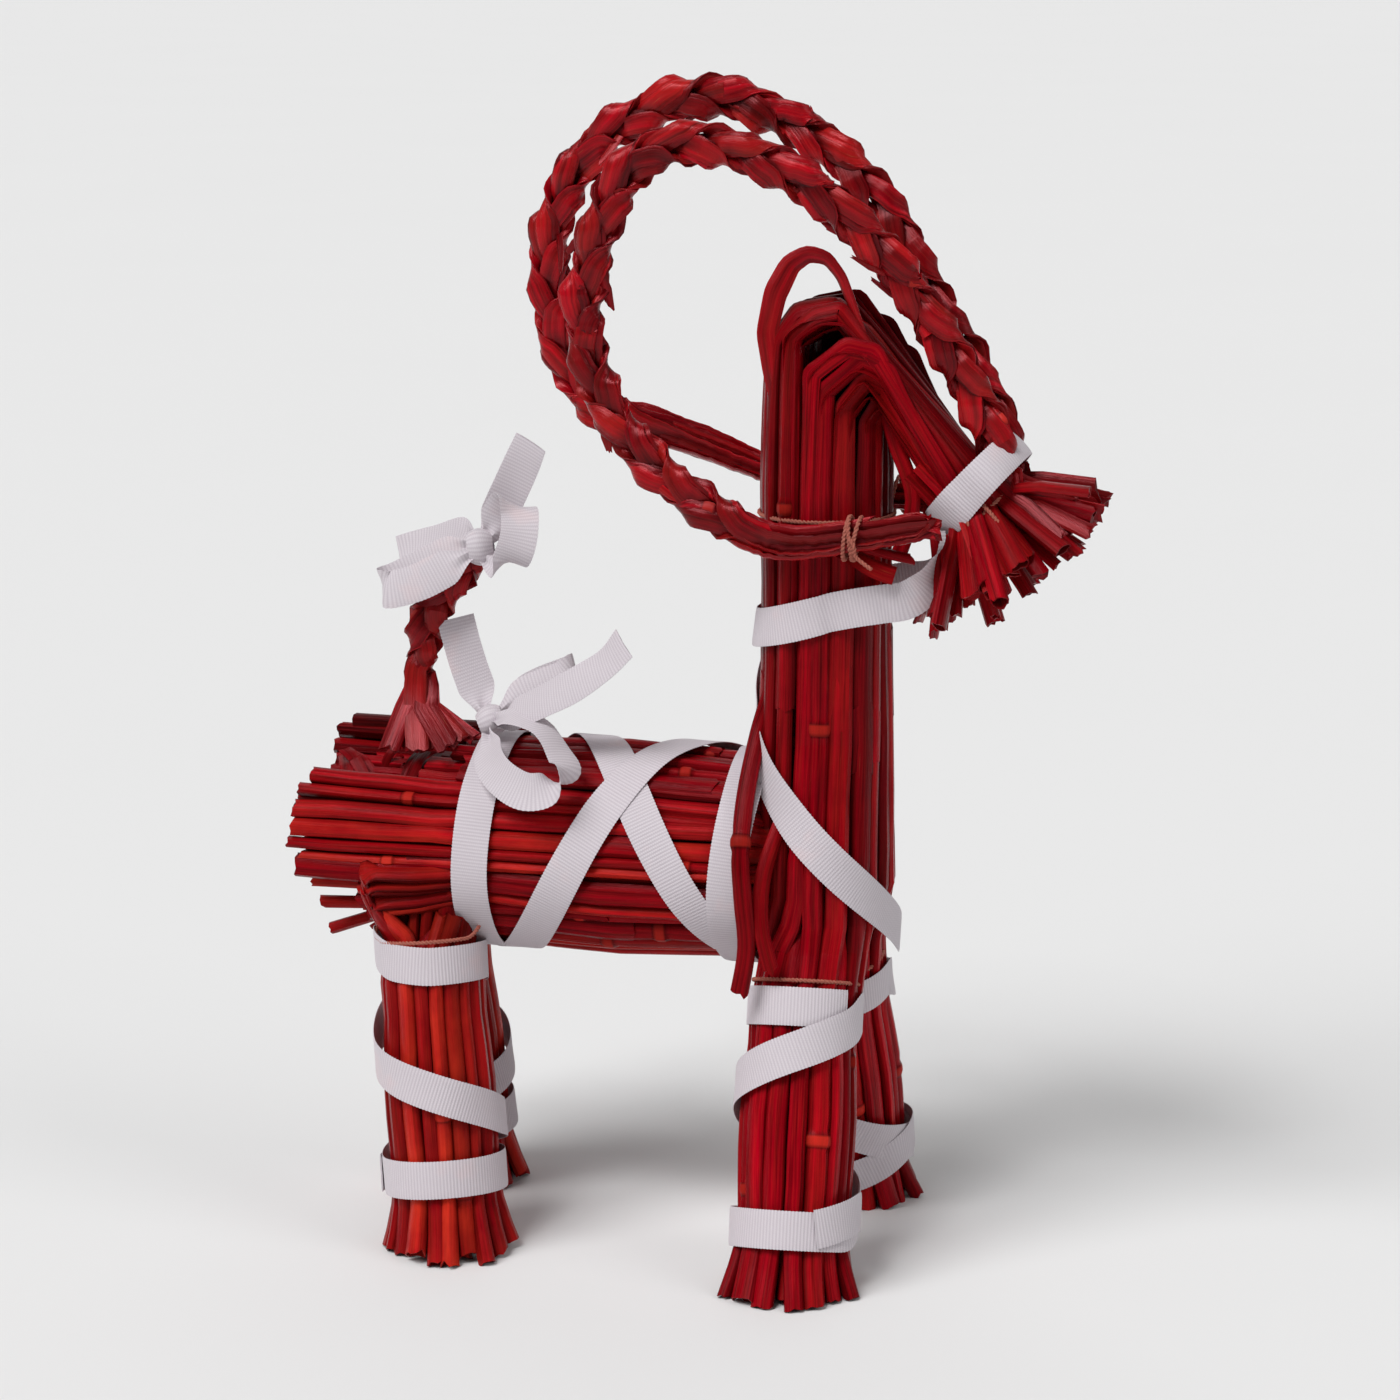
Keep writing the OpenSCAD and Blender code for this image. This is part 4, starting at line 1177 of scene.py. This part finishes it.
def bows(material):
    for seed, (node, rows) in enumerate(BOW_TAPES.items(), 121):
        knot = KNOTS[node[:4]][0]
        path = spline([knot + offset for offset, _ in rows], 8)
        wide = spline([way for _, way in rows], 8)
        s = lengths(path)
        near = np.minimum(s, s[-1] - s) if "loop" in node else s
        narrow = 0.38 + 0.62 * smoothstep(near / 8)
        tape_piece(node, material, path, wide, seed, held="folded", narrow=narrow, pleat=1.3, cup=0.5)
    for name, (knot, around, through) in KNOTS.items():
        around = unit(np.array(around))
        a = square_to(np.array(through), around[None])[0]
        b = np.cross(around, a)
        turn = np.radians(np.arange(0, 360, 12))
        out = np.cos(turn)[:, None] * a + np.sin(turn)[:, None] * b
        path = knot + out * (3.0 + 0.35 * np.sin(2 * turn + 1))[:, None]
        tape_piece(f"{name}_bow_knot", material, path, around, 141, held="folded", closed=True, out=out,
                   width=7.0, cup=1.5)


# ---- Twine ----
ply = 0.34                 # radius of one of the two plies
twine_lay = 2.2            # length of one twist


def twine(shape, path, rng, closed=False):
    """Two plies twisted round each other."""
    p = even(path, 0.5, closed)
    t = tangents(p, closed)
    a = square_to(np.array([0.31, 0.52, 0.8]), t)
    b = np.cross(t, a)
    s = np.arange(len(p)) * 0.5
    turns = max(1, round(s[-1] / twine_lay))
    for k in (0, math.pi):
        twist = 2 * math.pi * turns * s / (s[-1] + (0.5 if closed else 0)) + k
        centre = p + ply * 0.85 * (np.cos(twist)[:, None] * a + np.sin(twist)[:, None] * b)
        way = tangents(centre, closed)
        u = square_to(a, way)
        v = np.cross(way, u)
        angle = 2 * math.pi * np.arange(6) / 6
        around = np.cos(angle)[:, None] * u[:, None] + np.sin(angle)[:, None] * v[:, None]
        rings = centre[:, None] + ply * around
        tint = (rng.uniform(0.9, 1.1), 0, 0, 0)
        shape.tube(rings, s, tint, 2.6, (rng.uniform(0, 9), 0), closed)
        if not closed:
            shape.cap(rings[0], tint, True)
            shape.cap(rings[-1], tint, False)


def ring_path(centre, a, b, radius_a, radius_b):
    turn = np.linspace(0, 2 * math.pi, 48, endpoint=False)[:, None]
    return centre + radius_a * np.cos(turn) * a + radius_b * np.sin(turn) * b


def ties(material):
    """Twine at the horns' ends, round the neck and the muzzle, and at the top of each leg."""
    rng = np.random.default_rng(161)
    for side, name, z in ((-1, "right", 195.8), (1, "left", 199.6)):
        shape = Shape()
        for dx, tilt in ((-1.3, 0.12), (0, -0.1), (1.2, 0.2)):
            across = unit(np.array([tilt, 0, 1.0]))
            twine(shape, ring_path(np.array([46 + dx, side * 23, z]), across, Y, 5.6, 4.2), rng, True)
        knot = np.array([47, side * 27.4, z - 1])
        loose_end = knot + np.array([(-1, 0, 2), (0.5, side * 0.8, 0), (1, 0, -3), (5, 0, -6)])
        twine(shape, spline(loose_end, 8), rng)
        make(shape, f"horn_tie_{name}_twine", material, "twine", f"horn_tie_{name}")

    shape = Shape()
    twine(shape, ring_path(np.array([neck_x, 0, 198.5]), X, Y, neck_r - 0.9, neck_r - 0.9), rng, True)
    make(shape, "neck_twine_ply", material, "twine", "neck_twine")

    shape = Shape()
    bound_at = muzzle_at + 6.5 * muzzle_along
    twine(shape, ring_path(bound_at, muzzle_up, Y, muzzle_high, muzzle_broad), rng, True)
    for y, lift, reach in ((-13.2, -2, 17), (-12.5, 4, 12)):
        start = muzzle_at + 5 * muzzle_along + y * Y + lift * muzzle_up
        end = start + reach * muzzle_along - 3.5 * Y - 1.5 * muzzle_up
        twine(shape, spline([start, start + 6 * muzzle_along - 1.6 * Y, end], 8), rng)
    make(shape, "muzzle_twine_ply", material, "twine", "muzzle_twine")

    for name, foot, top, s in LEGS:
        shape = Shape()
        axis, ahead, outward = leg_frame(foot, top)
        r = float(leg_radius(s))
        if name.startswith("front"):
            path = ring_path(foot + axis * s, ahead, outward, r - 0.4, r - 0.4)
            path[:, 1] = np.sign(foot[1]) * np.maximum(np.sign(foot[1]) * path[:, 1], 1.0)
            twine(shape, path, rng, True)
        else:
            turn = np.radians(np.arange(-25, 200, 6))[:, None]
            path = foot + axis * s + (r + 0.3) * (-np.cos(turn) * ahead + np.sin(turn) * outward)
            turn = turn[:, 0]
            path[:, 2] += 3.5 * (1 - smoothstep((turn + 0.2) / 1.2)) + 5 * smoothstep((turn - 2.6) / 0.8)
            twine(shape, path, rng)
        make(shape, f"{name}_twine", material, "twine", name)


# ---- Materials ----
class Nodes:
    """Short ways to add and link shader nodes."""

    def __init__(self, name):
        self.material = bpy.data.materials.new(name)
        self.material.use_nodes = True
        self.tree = self.material.node_tree
        self.shader = self.tree.nodes["Principled BSDF"]

    def add(self, kind, inputs=None, **settings):
        node = self.tree.nodes.new(kind)
        for key, value in settings.items():
            setattr(node, key, value)
        for key, value in (inputs or {}).items():
            self.put(node.inputs[key], value)
        return node

    def put(self, socket, value):
        if isinstance(value, bpy.types.NodeSocket):
            self.tree.links.new(value, socket)
        else:
            socket.default_value = value

    def math(self, operation, a, b=0.0, c=0.0, clamp=False):
        node = self.add("ShaderNodeMath", {0: a, 1: b, 2: c}, operation=operation, use_clamp=clamp)
        return node.outputs[0]

    def mix(self, factor, a, b, kind="MIX"):
        node = self.add("ShaderNodeMix", data_type="RGBA", blend_type=kind)
        for socket, value in zip((node.inputs[0], node.inputs[6], node.inputs[7]), (factor, a, b)):
            self.put(socket, value)
        return node.outputs[2]

    def noise(self, vector, scale, detail=3.0, rough=0.6):
        return self.add("ShaderNodeTexNoise", {"Vector": vector, "Scale": scale, "Detail": detail,
                                               "Roughness": rough}).outputs["Fac"]

    def stretch(self, vector, x, y):
        return self.add("ShaderNodeMapping", {"Vector": vector, "Scale": (x, y, 1)}).outputs[0]

    def ramp(self, fac, low, high):
        return self.add("ShaderNodeMapRange", {"Value": fac, "From Min": low, "From Max": high}).outputs[0]

    def bump(self, height, strength, distance):
        inputs = {"Height": height, "Strength": strength, "Distance": distance}
        return self.add("ShaderNodeBump", inputs).outputs[0]


def straw_material(name, deep, red, orange, roughness, shine):
    """Dyed straw: fibres along it, patches of more orange dye, and scratches where the dye is missing. The
    tint adds painted shade on the stalks' inner sides and in their bores.
    """
    n = Nodes(name)
    tint = n.add("ShaderNodeAttribute", attribute_name="tint")
    parts = n.add("ShaderNodeSeparateColor", {"Color": tint.outputs["Color"]}).outputs
    light, warm, joint, bore_painted_shade = parts[0], parts[1], parts[2], tint.outputs["Alpha"]
    uv = n.add("ShaderNodeUVMap", uv_map="stalk").outputs[0]
    place = n.add("ShaderNodeTexCoord").outputs["Object"]
    fibre = n.noise(n.stretch(uv, 3.2, 0.05), 1.0, 4, 0.65)
    vein = n.noise(n.stretch(uv, 0.9, 0.018), 1.0, 3, 0.6)
    cloud = n.noise(n.stretch(uv, 0.12, 0.05), 1.0, 3, 0.6)
    stain = n.noise(place, 90, 4, 0.6)
    base = n.mix(n.ramp(vein, 0.32, 0.68), deep, red)
    base = n.mix(n.math("MULTIPLY", n.ramp(fibre, 0.45, 0.8), 0.3), base, orange)
    glow = n.math("MULTIPLY", warm, n.ramp(cloud, 0.25, 0.7), clamp=True)
    base = n.mix(glow, base, orange)
    scratch = n.ramp(n.noise(n.stretch(uv, 2.2, 0.03), 1.7, 2, 0.5), 0.72, 0.78)
    bare = n.math("MULTIPLY", scratch, n.ramp(cloud, 0.5, 0.65))
    base = n.mix(n.math("MULTIPLY", bare, 0.7, clamp=True), base, (0.62, 0.20, 0.07, 1))
    base = n.mix(n.math("MULTIPLY", joint, 0.6), base, (0.50, 0.026, 0.014, 1))
    # The tint's lightness holds each stalk's random tone and the painted shade on its inner side.
    shade = n.math("MULTIPLY", light, n.math("MULTIPLY_ADD", stain, 0.6, 0.7))
    shade = n.add("ShaderNodeCombineColor", {0: shade, 1: shade, 2: shade}).outputs[0]
    base = n.mix(1.0, base, shade, "MULTIPLY")
    # The bore of a cut stalk is painted almost black: painted shade.
    base = n.mix(bore_painted_shade, base, (0.05, 0.003, 0.003, 1))
    n.put(n.shader.inputs["Base Color"], base)
    gloss = n.math("MULTIPLY_ADD", fibre, 0.28, roughness - 0.14)
    n.put(n.shader.inputs["Roughness"], n.math("MULTIPLY_ADD", joint, 0.15, gloss))
    height = n.math("ADD", n.math("MULTIPLY", fibre, 0.6), n.math("MULTIPLY", vein, 0.9))
    n.put(n.shader.inputs["Normal"], n.bump(height, 0.55, 0.00035))
    n.put(n.shader.inputs["Specular IOR Level"], shine)
    n.put(n.shader.inputs["Specular Tint"], (1.0, 0.3, 0.33, 1))
    return n.material


def tape_material():
    """White ribbed tape with a faint pink stain from the straw's dye, and painted shade in the hollows of
    its weave.
    """
    n = Nodes("white_tape")
    uv = n.add("ShaderNodeUVMap", uv_map="stalk").outputs[0]
    place = n.add("ShaderNodeTexCoord").outputs["Object"]
    axes = n.add("ShaderNodeSeparateXYZ", {0: uv}).outputs
    turn = 2 * math.pi
    ribs = n.math("COSINE", n.math("MULTIPLY", axes[1], turn / rib_pitch))
    # Warp threads pass over one rib and under the next.
    shift = n.math("MULTIPLY", n.math("ROUND", n.math("DIVIDE", axes[1], rib_pitch)), math.pi)
    warp = n.math("COSINE", n.math("ADD", n.math("MULTIPLY", axes[0], turn / 0.55), shift))
    weave = n.math("ADD", n.math("MULTIPLY", ribs, 0.6), n.math("MULTIPLY", warp, 0.3))
    # The weave is painted darker where the ribs and warp dip down: painted shade.
    base = n.mix(n.ramp(weave, -0.8, 0.5), (0.50, 0.445, 0.485, 1), (0.62, 0.57, 0.605, 1))
    stain = n.ramp(n.noise(place, 55, 3, 0.6), 0.60, 0.78)
    base = n.mix(n.math("MULTIPLY", stain, 0.28), base, (0.80, 0.52, 0.50, 1))
    n.put(n.shader.inputs["Base Color"], base)
    n.put(n.shader.inputs["Normal"], n.bump(weave, 0.45, 0.00008))
    n.put(n.shader.inputs["Roughness"], 0.8)
    n.put(n.shader.inputs["Sheen Weight"], 0.25)
    return n.material


def twine_material():
    n = Nodes("pink_twine")
    uv = n.add("ShaderNodeUVMap", uv_map="stalk").outputs[0]
    hairs = n.noise(n.stretch(uv, 5, 1.5), 1.0, 3)
    base = n.mix(n.ramp(hairs, 0.3, 0.7), (0.26, 0.045, 0.03, 1), (0.48, 0.16, 0.11, 1))
    n.put(n.shader.inputs["Base Color"], base)
    n.put(n.shader.inputs["Roughness"], 0.8)
    n.put(n.shader.inputs["Normal"], n.bump(hairs, 0.6, 0.0002))
    return n.material


def floor_material():
    n = Nodes("pale_floor")
    place = n.add("ShaderNodeTexCoord").outputs["Object"]
    soft = n.noise(place, 3, 2, 0.5)
    n.put(n.shader.inputs["Base Color"], n.mix(soft, (0.80, 0.80, 0.80, 1), (0.81, 0.81, 0.81, 1)))
    n.put(n.shader.inputs["Roughness"], 0.9)
    n.put(n.shader.inputs["Specular IOR Level"], 0.1)
    return n.material


# ---- Assembly ----
def goat():
    straw = straw_material("red_straw", deep=(0.085, 0.0001, 0.002, 1), red=(0.355, 0.0003, 0.0078, 1),
                           orange=(0.52, 0.028, 0.012, 1), roughness=0.28, shine=0.13)
    braided = straw_material("braided_red_straw", deep=(0.065, 0.0001, 0.002, 1),
                             red=(0.41, 0.0003, 0.009, 1), orange=(0.52, 0.028, 0.013, 1),
                             roughness=0.24, shine=0.45)
    white, pink = tape_material(), twine_material()
    make(body_bundle(), "body_bundle_straw", straw, "straw", "body_bundle")
    make(rump_stray_stalks(), "rump_stray_straw", straw, "straw", "rump_stray_stalks")
    neck, muzzle, legs = front_half()
    bundles = {"neck_bundle": neck, "muzzle_bundle": muzzle, "front_leg_right": legs[-1],
               "front_leg_left": legs[1]}
    for seed, (tie, foot, top, _) in enumerate(LEGS[2:], 41):
        bundles[tie.replace("tie_", "")] = hind_leg(foot, top, np.random.default_rng(seed))
    for node, shape in bundles.items():
        make(shape, node + "_straw", straw, "straw", node)
    make(crown_loop(), "crown_loop_straw", braided, "straw", "crown_loop_stalk")
    horns(braided)
    tail(braided)
    body_tapes(white)
    chest_tape(white)
    throat_tape(white)
    muzzle_tape(white)
    leg_tapes(white)
    bows(white)
    ties(pink)


# The suns: name, where each is seen from the goat, strength and width in degrees.
SUNS = [("key", (-0.55, -0.75, 1.0), 1.88, 34), ("spark", (-0.15, -0.7, 1.0), 0.8, 14),
        ("rim", (1.0, -0.3, 0.75), 0.5, 30), ("back", (-0.2, 1.0, 0.9), 0.4, 60)]


def stage():
    """A wide pale floor, four suns and a pale sky."""
    mesh = bpy.data.meshes.new("floor")
    size = 40.0
    corners = [(-size, -size, 0), (size, -size, 0), (size, size, 0), (-size, size, 0)]
    mesh.from_pydata(corners, [], [(0, 1, 2, 3)])
    floor = bpy.data.objects.new("floor", mesh)
    bpy.context.scene.collection.objects.link(floor)
    mesh.materials.append(floor_material())
    for name, aim, energy, spread in SUNS:
        light = bpy.data.lights.new(name, "SUN")
        light.energy, light.angle = energy, math.radians(spread)
        lamp = bpy.data.objects.new(name, light)
        lamp.rotation_euler = Vector(aim).to_track_quat("Z", "Y").to_euler()
        bpy.context.scene.collection.objects.link(lamp)
    world = bpy.data.worlds.new("sky")
    world.use_nodes = True
    sky = world.node_tree.nodes["Background"].inputs
    sky["Color"].default_value = (0.82, 0.82, 0.82, 1)
    sky["Strength"].default_value = 0.24
    bpy.context.scene.world = world
    bpy.context.scene.view_settings.view_transform = "Standard"


def camera():
    """A long lens from the goat's right, a little ahead of it and above."""
    azimuth, elevation, distance = math.radians(15), math.radians(12), 1.010
    target = Vector((0.0015, -0.006, 0.148))
    flat = math.cos(elevation)
    back = Vector((math.sin(azimuth) * flat, -math.cos(azimuth) * flat, math.sin(elevation)))
    data = bpy.data.cameras.new("camera")
    data.sensor_width, data.lens = 36, 98.7
    data.clip_end = 100
    cam = bpy.data.objects.new("camera", data)
    cam.location = target + back * distance
    cam.rotation_euler = back.to_track_quat("Z", "Y").to_euler()
    bpy.context.scene.collection.objects.link(cam)
    bpy.context.scene.camera = cam


camera()
goat()
stage()
